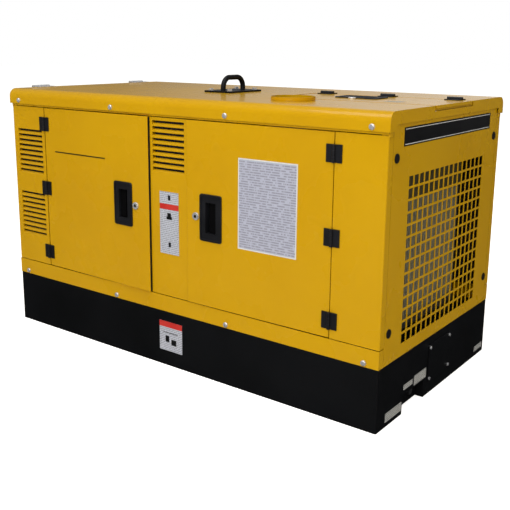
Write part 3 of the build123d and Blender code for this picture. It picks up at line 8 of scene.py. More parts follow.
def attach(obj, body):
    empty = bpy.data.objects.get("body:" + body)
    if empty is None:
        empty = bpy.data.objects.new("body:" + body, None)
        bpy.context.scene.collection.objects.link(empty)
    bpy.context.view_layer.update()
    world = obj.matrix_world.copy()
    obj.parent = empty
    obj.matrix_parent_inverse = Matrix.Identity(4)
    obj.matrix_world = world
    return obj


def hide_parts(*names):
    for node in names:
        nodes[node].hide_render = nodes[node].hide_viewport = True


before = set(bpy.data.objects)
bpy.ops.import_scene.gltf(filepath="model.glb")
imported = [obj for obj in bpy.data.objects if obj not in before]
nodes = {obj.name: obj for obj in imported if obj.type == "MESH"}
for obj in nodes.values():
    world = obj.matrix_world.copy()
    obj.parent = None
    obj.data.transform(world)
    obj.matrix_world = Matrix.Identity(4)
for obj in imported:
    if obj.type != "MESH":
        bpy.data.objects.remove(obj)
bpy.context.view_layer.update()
mm = 0.001
random.seed(7)


def toLinear(code):
    # sRGB hex to the linear numbers that the shaders use
    parts = [int(code[i:i + 2], 16) / 255 for i in (1, 3, 5)]
    linear = [p / 12.92 if p <= 0.04045 else ((p + 0.055) / 1.055) ** 2.4 for p in parts]
    return (*linear, 1.0)


def addNode(tree, kind, inputs=None, **settings):
    # one shader node; an input is a number, a colour or another node's output
    node = tree.nodes.new("ShaderNode" + kind)
    for key, value in settings.items():
        setattr(node, key, value)
    for key, value in (inputs or {}).items():
        if isinstance(value, bpy.types.NodeSocket):
            tree.links.new(value, node.inputs[key])
        else:
            node.inputs[key].default_value = value
    return node


# camera: place in metres; turn, rise and roll in degrees
cameraView = {
    "lens": 55.2,
    "place": (1.70406, -2.22374, 1.06276),
    "turn": 37.40,
    "rise": 12.335,
    "roll": 0.367,
    "shift": (0.0231, -0.0762),
}


def makeCamera(values):
    data = bpy.data.cameras.new("camera")
    data.lens = values["lens"]
    data.sensor_width = 36
    data.shift_x, data.shift_y = values["shift"]
    data.clip_start = 0.05
    camera = bpy.data.objects.new("camera", data)
    bpy.context.scene.collection.objects.link(camera)
    turn, rise = math.radians(values["turn"]), math.radians(values["rise"])
    level = math.cos(rise)
    back = Vector((math.sin(turn) * level, -math.cos(turn) * level, math.sin(rise)))
    camera.rotation_mode = "QUATERNION"
    camera.rotation_quaternion = (
        (-back).to_track_quat("-Z", "Y")
        @ Matrix.Rotation(math.radians(values["roll"]), 3, "Z").to_quaternion()
    )
    camera.location = values["place"]
    bpy.context.scene.camera = camera


studio = {
    "floorSize": 60.0,
    "floorColour": "#F4F3F0",
    "floorGlow": 0.95,
    "floorBounce": 0.20,
    "airLow": 0.02,
    "airLevel": 0.12,
    "airHigh": 0.30,
    "airBehind": 0.55,
    "lamps": [
        # name, place, aim, width, height, power, colour
        ("keyLamp", (1.5, -3.7, 2.2), (0.4, 0.0, 0.5), 2.6, 1.8, 46, "#FFFDF8"),
        ("topLamp", (0.3, -1.5, 3.8), (0.1, 0.0, 0.7), 3.6, 2.0, 70, "#FFFFFF"),
        ("sideLamp", (4.4, -1.4, 2.6), (0.4, 0.0, 0.5), 2.4, 2.4, 9, "#FFF9F0"),
        ("rearLamp", (-1.5, 4.6, 2.4), (0.0, 0.0, 0.5), 3.4, 2.2, 44, "#FFFDF6"),
    ],
}


def makeStudio(values):
    mesh = bmesh.new()
    bmesh.ops.create_grid(mesh, x_segments=1, y_segments=1, size=values["floorSize"] / 2)
    data = bpy.data.meshes.new("floor")
    mesh.to_mesh(data)
    mesh.free()
    floor = bpy.data.objects.new("floor", data)
    bpy.context.scene.collection.objects.link(floor)
    material = bpy.data.materials.new("studioFloor")
    material.use_nodes = True
    shader = material.node_tree.nodes["Principled BSDF"]
    shader.inputs["Base Color"].default_value = toLinear(values["floorColour"])
    shader.inputs["Roughness"].default_value = 0.8
    shader.inputs["Specular IOR Level"].default_value = 0.1
    shader.inputs["Emission Color"].default_value = toLinear(values["floorColour"])
    looked = addNode(material.node_tree, "LightPath").outputs["Is Camera Ray"]
    glow = addNode(material.node_tree, "Mix", {
        0: looked, 2: values["floorBounce"], 3: values["floorGlow"]}).outputs[0]
    material.node_tree.links.new(glow, shader.inputs["Emission Strength"])
    data.materials.append(material)
    floor.visible_glossy = False
    for name, place, aim, width, height, power, colour in values["lamps"]:
        lamp = bpy.data.lights.new(name, "AREA")
        lamp.shape = "RECTANGLE"
        lamp.size, lamp.size_y = width, height
        lamp.energy = power
        lamp.color = toLinear(colour)[:3]
        holder = bpy.data.objects.new(name, lamp)
        bpy.context.scene.collection.objects.link(holder)
        holder.location = place
        holder.rotation_mode = "QUATERNION"
        holder.rotation_quaternion = (Vector(aim) - Vector(place)).to_track_quat("-Z", "Y")
        holder.visible_camera = False
        holder.visible_glossy = name != "rearLamp"
    world = bpy.data.worlds.new("studioAir")
    bpy.context.scene.world = world
    world.use_nodes = True
    tree = world.node_tree
    tree.nodes.clear()
    # a pale room, brighter overhead and behind than at the front
    way = addNode(tree, "TexCoord").outputs["Generated"]
    split = addNode(tree, "SeparateXYZ", {0: way}).outputs
    high = addNode(tree, "MapRange", {
        "Value": split["Z"], "From Min": 0.0, "From Max": 0.8,
        "To Min": values["airLevel"], "To Max": values["airHigh"]}).outputs[0]
    away = addNode(tree, "Math", {
        0: split["X"], 1: 0.8, 2: split["Y"]}, operation="MULTIPLY_ADD").outputs[0]
    behind = addNode(tree, "MapRange", {
        "Value": away, "From Min": 0.1, "From Max": 0.6,
        "To Min": 0.0, "To Max": values["airBehind"]}).outputs[0]
    beside = addNode(tree, "MapRange", {"Value": split["X"], "From Min": 0.1, "From Max": -0.2}).outputs[0]
    glow = addNode(tree, "Math", {0: behind, 1: beside, 2: high}, operation="MULTIPLY_ADD").outputs[0]
    above = addNode(tree, "MapRange", {"Value": split["Z"], "From Min": -0.12, "From Max": 0.02}).outputs[0]
    lit = addNode(tree, "Mix", {0: above, 2: values["airLow"], 3: glow}).outputs[0]
    seen = addNode(tree, "LightPath").outputs["Is Camera Ray"]
    shown = addNode(tree, "Mix", {0: seen, 2: lit, 3: 1.0}).outputs[0]
    air = addNode(tree, "Background", {"Color": toLinear("#FFFFFF"), "Strength": shown})
    addNode(tree, "OutputWorld", {"Surface": air.outputs[0]})
    bpy.context.scene.view_settings.view_transform = "Standard"


makeCamera(cameraView)
makeStudio(studio)
print("camera, floor and lamps are made")


def newFinish(name, rough, metal=0.0, **sockets):
    # a material with its own shader; other sockets are named without spaces
    material = bpy.data.materials.new(name)
    material.use_nodes = True
    tree = material.node_tree
    shader = tree.nodes["Principled BSDF"]
    shader.inputs["Roughness"].default_value = rough
    shader.inputs["Metallic"].default_value = metal
    for key, value in sockets.items():
        shader.inputs[key.replace("_", " ")].default_value = value
    place = addNode(tree, "TexCoord").outputs["Object"]
    return material, tree, shader, place


def paintBase(tree, shader, place, first, second, scale, low=0.35, high=0.65, detail=4.0):
    # two near tones drift into each other over the surface
    drift = addNode(tree, "TexNoise", {"Vector": place, "Scale": scale, "Detail": detail}).outputs["Fac"]
    share = addNode(tree, "MapRange", {"Value": drift, "From Min": low, "From Max": high}).outputs[0]
    tone = addNode(tree, "Mix", {0: share, 6: toLinear(first), 7: toLinear(second)}, data_type="RGBA")
    tree.links.new(tone.outputs[2], shader.inputs["Base Color"])
    return tone


def roughRange(tree, shader, place, low, high, scale):
    smear = addNode(tree, "TexNoise", {"Vector": place, "Scale": scale, "Detail": 3.0}).outputs["Fac"]
    rough = addNode(tree, "MapRange", {
        "Value": smear, "From Min": 0.3, "From Max": 0.7, "To Min": low, "To Max": high}).outputs[0]
    tree.links.new(rough, shader.inputs["Roughness"])


def bumpFrom(tree, shader, height, depth, strength=1.0, edge=0.0):
    # depth in metres; edge is the radius that softens hard corners
    bump = addNode(tree, "Bump", {"Height": height, "Distance": depth, "Strength": strength})
    if edge:
        soft = addNode(tree, "Bevel", {"Radius": edge}, samples=4)
        tree.links.new(soft.outputs[0], bump.inputs["Normal"])
    tree.links.new(bump.outputs[0], shader.inputs["Normal"])


coats = {
    # first tone, second tone, low and high roughness, gloss layer, mirror share, tone of the painted shade
    # in the seams
    "yellowPowderCoat": ("#D8A302", "#DDA903", 0.24, 0.32, 0.3, 0.2, "#6B3D06"),
    "blackPowderCoat": ("#0C0D0F", "#121316", 0.40, 0.52, 0.0, 0.22, "#040404"),
}


def powderCoat(name, values):
    # polyester powder, sprayed and baked: an even gloss skin with a faint orange peel, with painted shade
    # darkening its seams
    first, second, low, high, gloss, mirrorShare, shadeTone = values
    material, tree, shader, place = newFinish(
        name, low, Coat_Weight=gloss, Coat_Roughness=0.07, Specular_IOR_Level=mirrorShare)
    tone = paintBase(tree, shader, place, first, second, 2.5)
    # painted shade: the colour darkens towards the shade tone where the surface is hemmed in
    shade = addNode(tree, "AmbientOcclusion", {"Distance": 0.010}, samples=6).outputs["AO"]
    paintedShade = addNode(tree, "MapRange", {
        "Value": shade, "From Min": 0.25, "From Max": 0.7, "To Min": 0.75, "To Max": 0.0}).outputs[0]
    mixed = addNode(tree, "Mix", {0: paintedShade, 6: tone.outputs[2], 7: toLinear(shadeTone)}, data_type="RGBA")
    tree.links.new(mixed.outputs[2], shader.inputs["Base Color"])
    roughRange(tree, shader, place, low, high, 7.0)
    # real peel is 1 to 3 mm across; drawn at 9 mm so that it shows
    peel = addNode(tree, "TexNoise", {"Vector": place, "Scale": 110.0, "Detail": 1.5}).outputs["Fac"]
    bumpFrom(tree, shader, peel, 0.00025, 0.35, 0.0012)
    return material


def grainedPlastic(name, first, second, low, high, grain=420.0, depth=0.0002, **sockets):
    # moulded plastic from a spark-eroded tool: a fine even grain that breaks up the highlights
    material, tree, shader, place = newFinish(name, low, IOR=1.46, **sockets)
    paintBase(tree, shader, place, first, second, 14.0)
    roughRange(tree, shader, place, low, high, 30.0)
    pits = addNode(tree, "TexNoise", {"Vector": place, "Scale": grain, "Detail": 2.0}).outputs["Fac"]
    bumpFrom(tree, shader, pits, depth, 0.5, 0.0008)
    return material


def platedMetal(name, first, second, low, high, scratch=0.0, cell=90.0, metal=1.0):
    # plating over steel: a bright skin whose sheen drifts, with fine scratches where it is handled
    material, tree, shader, place = newFinish(name, low, metal)
    paintBase(tree, shader, place, first, second, cell)
    roughRange(tree, shader, place, low, high, 60.0)
    stretched = addNode(tree, "Mapping", {"Vector": place, "Scale": (900.0, 60.0, 900.0)}).outputs[0]
    lines = addNode(tree, "TexNoise", {"Vector": stretched, "Scale": 1.0, "Detail": 2.0}).outputs["Fac"]
    bumpFrom(tree, shader, lines, 0.0001, scratch, 0.0006)
    return material


def castEnamel(name, first, second, low, high, sand=160.0):
    # enamel over a sand casting: pebbled, with painted shade darkening its hollows, where dust and oil also
    # collect
    material, tree, shader, place = newFinish(name, low, IOR=1.5)
    tone = paintBase(tree, shader, place, first, second, 9.0)
    # painted shade: darker towards a dark brown where the surface is hemmed in
    shade = addNode(tree, "AmbientOcclusion", {"Distance": 0.03}, samples=4).outputs["AO"]
    paintedShade = addNode(tree, "MapRange", {
        "Value": shade, "From Min": 0.3, "From Max": 0.9, "To Min": 0.8, "To Max": 0.0}).outputs[0]
    mixed = addNode(tree, "Mix", {0: paintedShade, 6: tone.outputs[2], 7: toLinear("#1B1712")}, data_type="RGBA")
    tree.links.new(mixed.outputs[2], shader.inputs["Base Color"])
    roughRange(tree, shader, place, low, high, 18.0)
    pebble = addNode(tree, "TexNoise", {"Vector": place, "Scale": sand, "Detail": 4.0}).outputs["Fac"]
    bumpFrom(tree, shader, pebble, 0.0010, 0.6, 0.002)
    return material


def openFoam(name):
    # polyurethane acoustic foam: black open cells, no gloss at all
    material, tree, shader, place = newFinish(name, 1.0, Specular_IOR_Level=0.1)
    cells = addNode(tree, "TexVoronoi", {"Vector": place, "Scale": 160.0}).outputs["Distance"]
    tone = addNode(tree, "Mix", {0: cells, 6: toLinear("#141416"), 7: toLinear("#3B3B3E")}, data_type="RGBA")
    tree.links.new(tone.outputs[2], shader.inputs["Base Color"])
    bumpFrom(tree, shader, cells, 0.004, 0.9)
    return material


def dustyAluminium(name):
    # mill aluminium that has stood in a cooling draught: grey, dusty, with rolled streaks
    material, tree, shader, place = newFinish(name, 0.5, 0.85)
    paintBase(tree, shader, place, "#7E7F78", "#A3A39A", 26.0)
    roughRange(tree, shader, place, 0.42, 0.62, 40.0)
    streak = addNode(tree, "Mapping", {"Vector": place, "Scale": (300.0, 300.0, 20.0)}).outputs[0]
    lines = addNode(tree, "TexNoise", {"Vector": streak, "Scale": 1.0, "Detail": 2.0}).outputs["Fac"]
    bumpFrom(tree, shader, lines, 0.0002, 0.4)
    return material


def spangledZinc(name):
    # hot-dip galvanised sheet: flat crystals, each with its own tone and sheen
    material, tree, shader, place = newFinish(name, 0.4, 0.9)
    flake = addNode(tree, "TexVoronoi", {"Vector": place, "Scale": 75.0}).outputs["Color"]
    split = addNode(tree, "SeparateColor", {0: flake}).outputs
    tone = addNode(tree, "Mix", {
        0: split[0], 6: toLinear("#8D9194"), 7: toLinear("#B9BCBE")}, data_type="RGBA")
    tree.links.new(tone.outputs[2], shader.inputs["Base Color"])
    rough = addNode(tree, "MapRange", {"Value": split[1], "To Min": 0.28, "To Max": 0.5}).outputs[0]
    tree.links.new(rough, shader.inputs["Roughness"])
    bumpFrom(tree, shader, split[2], 0.0001, 0.3, 0.001)
    return material


def heatPaint(name):
    # silicone heat paint: dull grey, browned where the metal runs hottest
    material, tree, shader, place = newFinish(name, 0.62, 0.35)
    blot = addNode(tree, "TexNoise", {"Vector": place, "Scale": 16.0, "Detail": 6.0}).outputs["Fac"]
    share = addNode(tree, "MapRange", {"Value": blot, "From Min": 0.45, "From Max": 0.7}).outputs[0]
    tone = addNode(tree, "Mix", {0: share, 6: toLinear("#6A6966"), 7: toLinear("#5B4433")}, data_type="RGBA")
    tree.links.new(tone.outputs[2], shader.inputs["Base Color"])
    bumpFrom(tree, shader, blot, 0.0008, 0.4, 0.001)
    return material


def laminatedBoard(name):
    # phenolic laminate: brown resin over layered paper, with a satin face
    material, tree, shader, place = newFinish(name, 0.35, IOR=1.6)
    fibre = addNode(tree, "Mapping", {"Vector": place, "Scale": (60.0, 12.0, 240.0)}).outputs[0]
    fleck = addNode(tree, "TexNoise", {"Vector": fibre, "Scale": 3.0, "Detail": 5.0}).outputs["Fac"]
    tone = addNode(tree, "Mix", {0: fleck, 6: toLinear("#3A2213"), 7: toLinear("#6B4226")}, data_type="RGBA")
    tree.links.new(tone.outputs[2], shader.inputs["Base Color"])
    bumpFrom(tree, shader, fleck, 0.0002, 0.3, 0.0008)
    return material


def plainVinyl(name, colour, second, rough=0.35):
    # printed vinyl film: a smooth, slightly glossy skin with a trace of waviness
    material, tree, shader, place = newFinish(name, rough, IOR=1.45, Coat_Weight=0.25)
    paintBase(tree, shader, place, colour, second, 20.0)
    ripple = addNode(tree, "TexNoise", {"Vector": place, "Scale": 60.0, "Detail": 1.0}).outputs["Fac"]
    bumpFrom(tree, shader, ripple, 0.0002, 0.2)
    return material


def writtenVinyl(name, paper, ink, pitch, wordSize, along, share=0.5):
    # film printed with rows of small marks that stand for lines of writing, and can't be read
    material, tree, shader, place = newFinish(name, 0.4, IOR=1.45, Coat_Weight=0.2)
    split = addNode(tree, "SeparateXYZ", {0: place}).outputs
    row = addNode(tree, "Math", {0: split["Z"], 1: 1 / pitch}, operation="MULTIPLY").outputs[0]
    part = addNode(tree, "Math", {0: row}, operation="FRACT").outputs[0]
    inRow = addNode(tree, "Math", {0: part, 1: share}, operation="LESS_THAN").outputs[0]
    whole = addNode(tree, "Math", {0: row}, operation="FLOOR").outputs[0]
    across = addNode(tree, "Math", {0: split[along], 1: 1 / wordSize}, operation="MULTIPLY").outputs[0]
    spot = addNode(tree, "CombineXYZ", {0: across, 1: whole, 2: 0.0}).outputs[0]
    words = addNode(tree, "TexNoise", {
        "Vector": spot, "Scale": 1.0, "Detail": 3.0, "Roughness": 0.8}).outputs["Fac"]
    inked = addNode(tree, "MapRange", {"Value": words, "From Min": 0.44, "From Max": 0.5}).outputs[0]
    both = addNode(tree, "Math", {0: inRow, 1: inked}, operation="MULTIPLY").outputs[0]
    tone = addNode(tree, "Mix", {0: both, 6: toLinear(paper), 7: toLinear(ink)}, data_type="RGBA")
    tree.links.new(tone.outputs[2], shader.inputs["Base Color"])
    return material


yellowCoat = powderCoat("yellowPowderCoat", coats["yellowPowderCoat"])
blackCoat = powderCoat("blackPowderCoat", coats["blackPowderCoat"])
blackNylon = grainedPlastic("blackMouldedNylon", "#16171B", "#1E1F24", 0.38, 0.5)
# a near-black, dull copy of the black nylon: painted shade, for the handle pockets and the key slots
shadedNylon = grainedPlastic("shadedBlackNylon", "#050506", "#080809", 0.8, 0.9, Specular_IOR_Level=0.1)
blackAbs = grainedPlastic("blackMouldedAbs", "#101012", "#17171A", 0.35, 0.45, 500.0)
blackRubber = grainedPlastic("blackMouldedRubber", "#0B0B0C", "#161616", 0.7, 0.85, 260.0, 0.0004)
greyPanelPaint = grainedPlastic("greyTexturedPaint", "#8C9092", "#979B9D", 0.5, 0.6, 300.0, 0.0002)
redPlastic = grainedPlastic("redMouldedAbs", "#A61212", "#BC1A16", 0.25, 0.35, 500.0)
bluePlastic = grainedPlastic("blueMouldedNylon", "#123F8C", "#184A9C", 0.32, 0.42, 500.0)
whiteNylon = grainedPlastic("whiteMouldedNylon", "#C9C7BE", "#D9D7CF", 0.4, 0.55, 400.0)
blackPolypropylene = grainedPlastic("blackPolypropylene", "#18181B", "#222226", 0.4, 0.55, 260.0, 0.0004)
chromePlate = platedMetal("chromePlatedSteel", "#E6E7EA", "#F4F4F6", 0.2, 0.3, 0.1, metal=0.62)
zincPlate = platedMetal("zincPlatedSteel", "#9FA2A5", "#B9BABB", 0.28, 0.42, 0.3)
machinedSteel = platedMetal("machinedSteel", "#77787A", "#97989A", 0.25, 0.42, 0.5)
turnedBrass = platedMetal("turnedBrass", "#B58A3C", "#CCA457", 0.22, 0.36, 0.3)
greyEnamel = castEnamel("greyCastEnamel", "#3E4A50", "#4B575C", 0.42, 0.6)
acousticFoam = openFoam("blackAcousticFoam")
finAluminium = dustyAluminium("dustyFinAluminium")
galvanisedSheet = spangledZinc("spangledGalvanisedSheet")
exhaustPaint = heatPaint("silverHeatPaint")
phenolicBoard = laminatedBoard("brownPhenolicLaminate")

finishes = {
    "yellow_paint": yellowCoat, "black_paint": blackCoat, "black_hardware": blackNylon,
    "chrome_hardware": chromePlate, "zinc_steel": zincPlate, "acoustic_foam": acousticFoam,
    "engine_casting": greyEnamel, "aluminium_fins": finAluminium, "machined_steel": machinedSteel,
    "heat_steel": exhaustPaint, "rubber": blackRubber, "black_plastic": blackAbs,
    "panel_grey": greyPanelPaint, "red_plastic": redPlastic, "blue_plastic": bluePlastic,
    "phenolic_board": phenolicBoard, "brass_studs": turnedBrass, "galvanised": galvanisedSheet,
    "battery_case": blackPolypropylene, "white_plastic": whiteNylon,
}
for node in nodes.values():
    for place, old in enumerate(node.data.materials):
        node.data.materials[place] = finishes[old.name.split(".")[0]]
# the handle paddles take the shaded nylon: painted shade for the deep pockets they sit in
for name in ("left_handle", "right_handle", "hatch_handle"):
    for place in range(len(nodes[name].data.materials)):
        nodes[name].data.materials[place] = shadedNylon
print("the frame has its finishes")

whitePaper = writtenVinyl("whiteLabelFilm", "#CED1DB", "#8A8C98", 0.0062, 0.006, "X", 0.42)
greySheet = writtenVinyl("greyNoticeFilm", "#C2C4D4", "#9C9CAC", 0.0074, 0.022, "X", 0.55)
endPaper = writtenVinyl("whiteEndLabelFilm", "#DAD9D2", "#4A4A4E", 0.0060, 0.005, "Y", 0.5)
topPaper = writtenVinyl("paleHatchLabelFilm", "#E6DFC6", "#7C7668", 0.0050, 0.004, "X", 0.5)
redFilm = plainVinyl("redLabelFilm", "#D22A24", "#DC3A30")
blackFilm = plainVinyl("blackLabelFilm", "#101012", "#161618", 0.3)
whiteFilm = plainVinyl("whiteLineFilm", "#E4E4E0", "#EEEEEA", 0.4)
yellowFilm = plainVinyl("yellowLabelFilm", "#E8C21A", "#EECB2A", 0.4)
meterPaper = plainVinyl("whiteDialPaper", "#E9E7DD", "#F0EEE6", 0.6)
greenLens = grainedPlastic("greenLampLens", "#0E6B2C", "#138038", 0.12, 0.2, 200.0)
amberLens = grainedPlastic("amberLampLens", "#C46A08", "#D67A10", 0.12, 0.2, 200.0)
# the last tone of each is the painted shade in its seams
olivePaint = powderCoat("olivePaintedBrass", ("#4F4A34", "#5B553C", 0.4, 0.55, 0.0, 0.3, "#2A2616"))
tubePaint = powderCoat("greyOliveTubePaint", ("#A09B84", "#AEA992", 0.45, 0.6, 0.0, 0.3, "#57523C"))
finPaint = grainedPlastic("dustyFinPaint", "#CBC7B8", "#D8D4C6", 0.6, 0.75, 200.0, 0.0002)
cableSleeve = grainedPlastic("blackCableSleeve", "#111113", "#19191C", 0.5, 0.65, 200.0, 0.0003)
redSleeve = grainedPlastic("redCableSleeve", "#8E1414", "#A21A18", 0.4, 0.5, 200.0, 0.0002)
filterEnamel = castEnamel("darkFilterEnamel", "#20242C", "#2A2E38", 0.3, 0.42, 90.0)


def addBlock(mesh, low, high):
    # a box between two corners in millimetres
    low, high = Vector(low) * mm, Vector(high) * mm
    place = Matrix.Translation((low + high) / 2) @ Matrix.Diagonal((*(high - low), 1.0))
    return bmesh.ops.create_cube(mesh, size=1.0, matrix=place)["verts"]


def addRod(mesh, start, end, radius, sides=28, tip=None):
    # a round bar or, with a tip radius, a cone between two points in millimetres
    start, end = Vector(start) * mm, Vector(end) * mm
    turn = (end - start).to_track_quat("Z", "Y").to_matrix().to_4x4()
    return bmesh.ops.create_cone(
        mesh, cap_ends=True, segments=sides,
        radius1=radius * mm, radius2=(radius if tip is None else tip) * mm,
        depth=(end - start).length, matrix=Matrix.Translation((start + end) / 2) @ turn)["verts"]


def addDome(mesh, centre, radius, high, along):
    # half a flattened ball that bulges along one direction
    turn = Vector(along).to_track_quat("Z", "Y").to_matrix().to_4x4()
    squeeze = Matrix.Diagonal((radius * mm, radius * mm, high * mm, 1.0))
    return bmesh.ops.create_uvsphere(
        mesh, u_segments=24, v_segments=12, radius=1.0,
        matrix=Matrix.Translation(Vector(centre) * mm) @ turn @ squeeze)["verts"]


def makePiece(name, mesh, finish, body="root", soft=0.0, sharp=35.0):
    # the mesh becomes a piece that rides on a body of the frame
    if soft:
        bmesh.ops.bevel(mesh, geom=mesh.edges[:], offset=soft * mm, offset_type="OFFSET", segments=2,
                        profile=0.5, affect="EDGES", material=-1, clamp_overlap=True)
    data = bpy.data.meshes.new(name)
    mesh.to_mesh(data)
    mesh.free()
    data.materials.append(finish)
    data.shade_smooth()
    data.set_sharp_from_angle(angle=math.radians(sharp))
    piece = bpy.data.objects.new(name, data)
    bpy.context.scene.collection.objects.link(piece)
    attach(piece, body)
    return piece


def makeHose(name, path, radius, finish, body="root", closed=False):
    # a round hose or wire through points in millimetres, smooth at each
    data = bpy.data.curves.new(name, "CURVE")
    data.dimensions = "3D"
    data.resolution_u = 10
    data.bevel_depth = radius * mm
    data.bevel_resolution = 4
    data.use_fill_caps = True
    spline = data.splines.new("BEZIER")
    spline.bezier_points.add(len(path) - 1)
    for knot, point in zip(spline.bezier_points, path):
        knot.co = Vector(point) * mm
        knot.handle_left_type = knot.handle_right_type = "AUTO"
    spline.use_cyclic_u = closed
    data.materials.append(finish)
    piece = bpy.data.objects.new(name, data)
    bpy.context.scene.collection.objects.link(piece)
    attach(piece, body)
    return piece


# where each door is hinged, in millimetres, and how far it stands open, in degrees
doorRest = {"hingeY": -407.5, "left": (-601.0, -1.0), "right": (621.0, 0.5)}


def swingAjar(mesh, side):
    # from the closed place to where the frame's doors stand at rest
    hingeX, degrees = doorRest[side]
    about = Vector((hingeX, doorRest["hingeY"], 0.0)) * mm
    turn = Matrix.Rotation(math.radians(degrees), 3, "Z")
    bmesh.ops.rotate(mesh, verts=mesh.verts, cent=about, matrix=turn)


# labels: thin printed film on the painted faces
labels = {
    "faceY": -402.5, "endX": 782.0, "film": 0.5,
    "paper": (-31, 51, 392, 599), "paperBand": (-31, 51, 541, 559), "paperFrame": (-25, 45, 400, 470),
    "notice": (298, 501, 463, 733), "noticeBorder": (294, 505, 459, 737),
    "baseLabel": (-41, 60, 53, 156), "baseBand": (-41, 60, 136, 156),
    "stripe": (-545, -280, 680, 684),
    "endStrip": (-314, 311, 801, 852), "endLines": ((-308, 305, 805, 807), (-308, 305, 846, 848)),
    "baseMarks": ((-349, -247, 14, 41), (-237, -177, 73, 89), (-167, -83, 64, 94), (317, 387, 17, 35)),
}


def frontFilm(name, area, finish, body="root", lift=0.0, side=None):
    mesh = bmesh.new()
    x0, x1, z0, z1 = area
    y = labels["faceY"] - lift
    addBlock(mesh, (x0, y - labels["film"], z0), (x1, y, z1))
    if side:
        swingAjar(mesh, side)
    return makePiece(name, mesh, finish, body)


def endFilm(name, areas, finish, lift=0.0):
    mesh = bmesh.new()
    x = labels["endX"] + lift
    for y0, y1, z0, z1 in areas:
        addBlock(mesh, (x, y0, z0), (x + labels["film"], y1, z1))
    return makePiece(name, mesh, finish)


frontFilm("centrePanelLabel", labels["paper"], whitePaper)
frontFilm("centrePanelLabelBand", labels["paperBand"], redFilm, lift=0.3)
frontFilm("baseLabel", labels["baseLabel"], whitePaper)
frontFilm("baseLabelBand", labels["baseBand"], redFilm, lift=0.3)
# plain dark figures in place of pictures
figures = {
    "thick": 0.3,
    "paper": ((6, 16, 572, 588), (-2, 22, 508, 518), (2, 18, 518, 530), (6, 16, 416, 432)),
    "base": ((-14, 2, 84, 106), (12, 34, 76, 96), (-24, 40, 116, 118)),
}
mesh = bmesh.new()
y = labels["faceY"] - labels["film"]
for x0, x1, z0, z1 in (*figures["paper"], *figures["base"]):
    addBlock(mesh, (x0, y - figures["thick"], z0), (x1, y, z1))
makePiece("labelFigures", mesh, blackFilm)
frontFilm("noticeBorder", labels["noticeBorder"], whiteFilm, "right_door", side="right")
frontFilm("noticeSheet", labels["notice"], greySheet, "right_door", lift=0.3, side="right")
frontFilm("leftDoorStripe", labels["stripe"], blackFilm, "left_door", side="left")
endFilm("endStrip", [labels["endStrip"]], blackFilm)
endFilm("endStripLines", labels["endLines"], whiteFilm, 0.3)
endFilm("baseEndMarks", labels["baseMarks"], endPaper)

hatchLabels = {"top": 900.0, "areas": ((300, 350, -100, -60), (600, 655, -90, -55)), "film": 0.5}
mesh = bmesh.new()
for x0, x1, y0, y1 in hatchLabels["areas"]:
    addBlock(mesh, (x0, y0, hatchLabels["top"]), (x1, y1, hatchLabels["top"] + hatchLabels["film"]))
makePiece("hatchLabels", mesh, topPaper, "roof_hatch")
print("labels are made")

# the tank of the radiator is painted olive
for place in range(len(nodes["radiator_tanks"].data.materials)):
    nodes["radiator_tanks"].data.materials[place] = olivePaint

# acoustic lining: foam boards behind the louvres and on the rear wall
lining = {
    "boards": (
        (-58, 74, -391, -383, 640, 842), (-752, -618, -391, -383, 300, 800),
        (-740, 746, 384, 392, 240, 826),
    ),
    "sill": ((-770, 394, 238), (778, 396, 258)),
    "fillerX": (760, 784), "fillerY": (378, 401), "fillerZ": (832, 848),
}
mesh = bmesh.new()
for x0, x1, y0, y1, z0, z1 in lining["boards"]:
    addBlock(mesh, (x0, y0, z0), (x1, y1, z1))
makePiece("louvreLining", mesh, acousticFoam, soft=1.5)
mesh = bmesh.new()
addBlock(mesh, *lining["sill"])
makePiece("rearSillStrip", mesh, yellowCoat)
mesh = bmesh.new()
for end in (-1, 1):
    for side in (-1, 1):
        x0, x1 = sorted(end * x for x in lining["fillerX"])
        y0, y1 = sorted(side * y for y in lining["fillerY"])
        addBlock(mesh, (x0, y0, lining["fillerZ"][0]), (x1, y1, lining["fillerZ"][1]))
makePiece("cornerFillers", mesh, yellowCoat, soft=2.0)

# door seals: dark rubber against the free edge of each door
seals = {"low": 250.0, "high": 835.0, "front": -400.0, "back": -384.0,
         "leftEdge": -73.5, "rightEdge": 90.5, "thick": 0.7}
for side, edge, way in (("left", seals["leftEdge"], 1), ("right", seals["rightEdge"], -1)):
    mesh = bmesh.new()
    near, far = sorted((edge, edge + way * seals["thick"]))
    addBlock(mesh, (near, seals["front"], seals["low"]), (far, seals["back"], seals["high"]))
    swingAjar(mesh, side)
    makePiece(side + "DoorSeal", mesh, blackRubber, side + "_door")

# key slots in the two door locks: dark discs of the shaded nylon, painted shade for the recessed slots
keys = {"z": 537.0, "left": -133.0, "right": 128.0, "inner": -407.05, "outer": -407.55, "radius": 5.2}
for side in ("left", "right"):
    mesh = bmesh.new()
    x = keys[side]
    addRod(mesh, (x, keys["inner"], keys["z"]), (x, keys["outer"], keys["z"]), keys["radius"], 24)
    swingAjar(mesh, side)
    makePiece(side + "KeySlot", mesh, shadedNylon, side + "_lock")

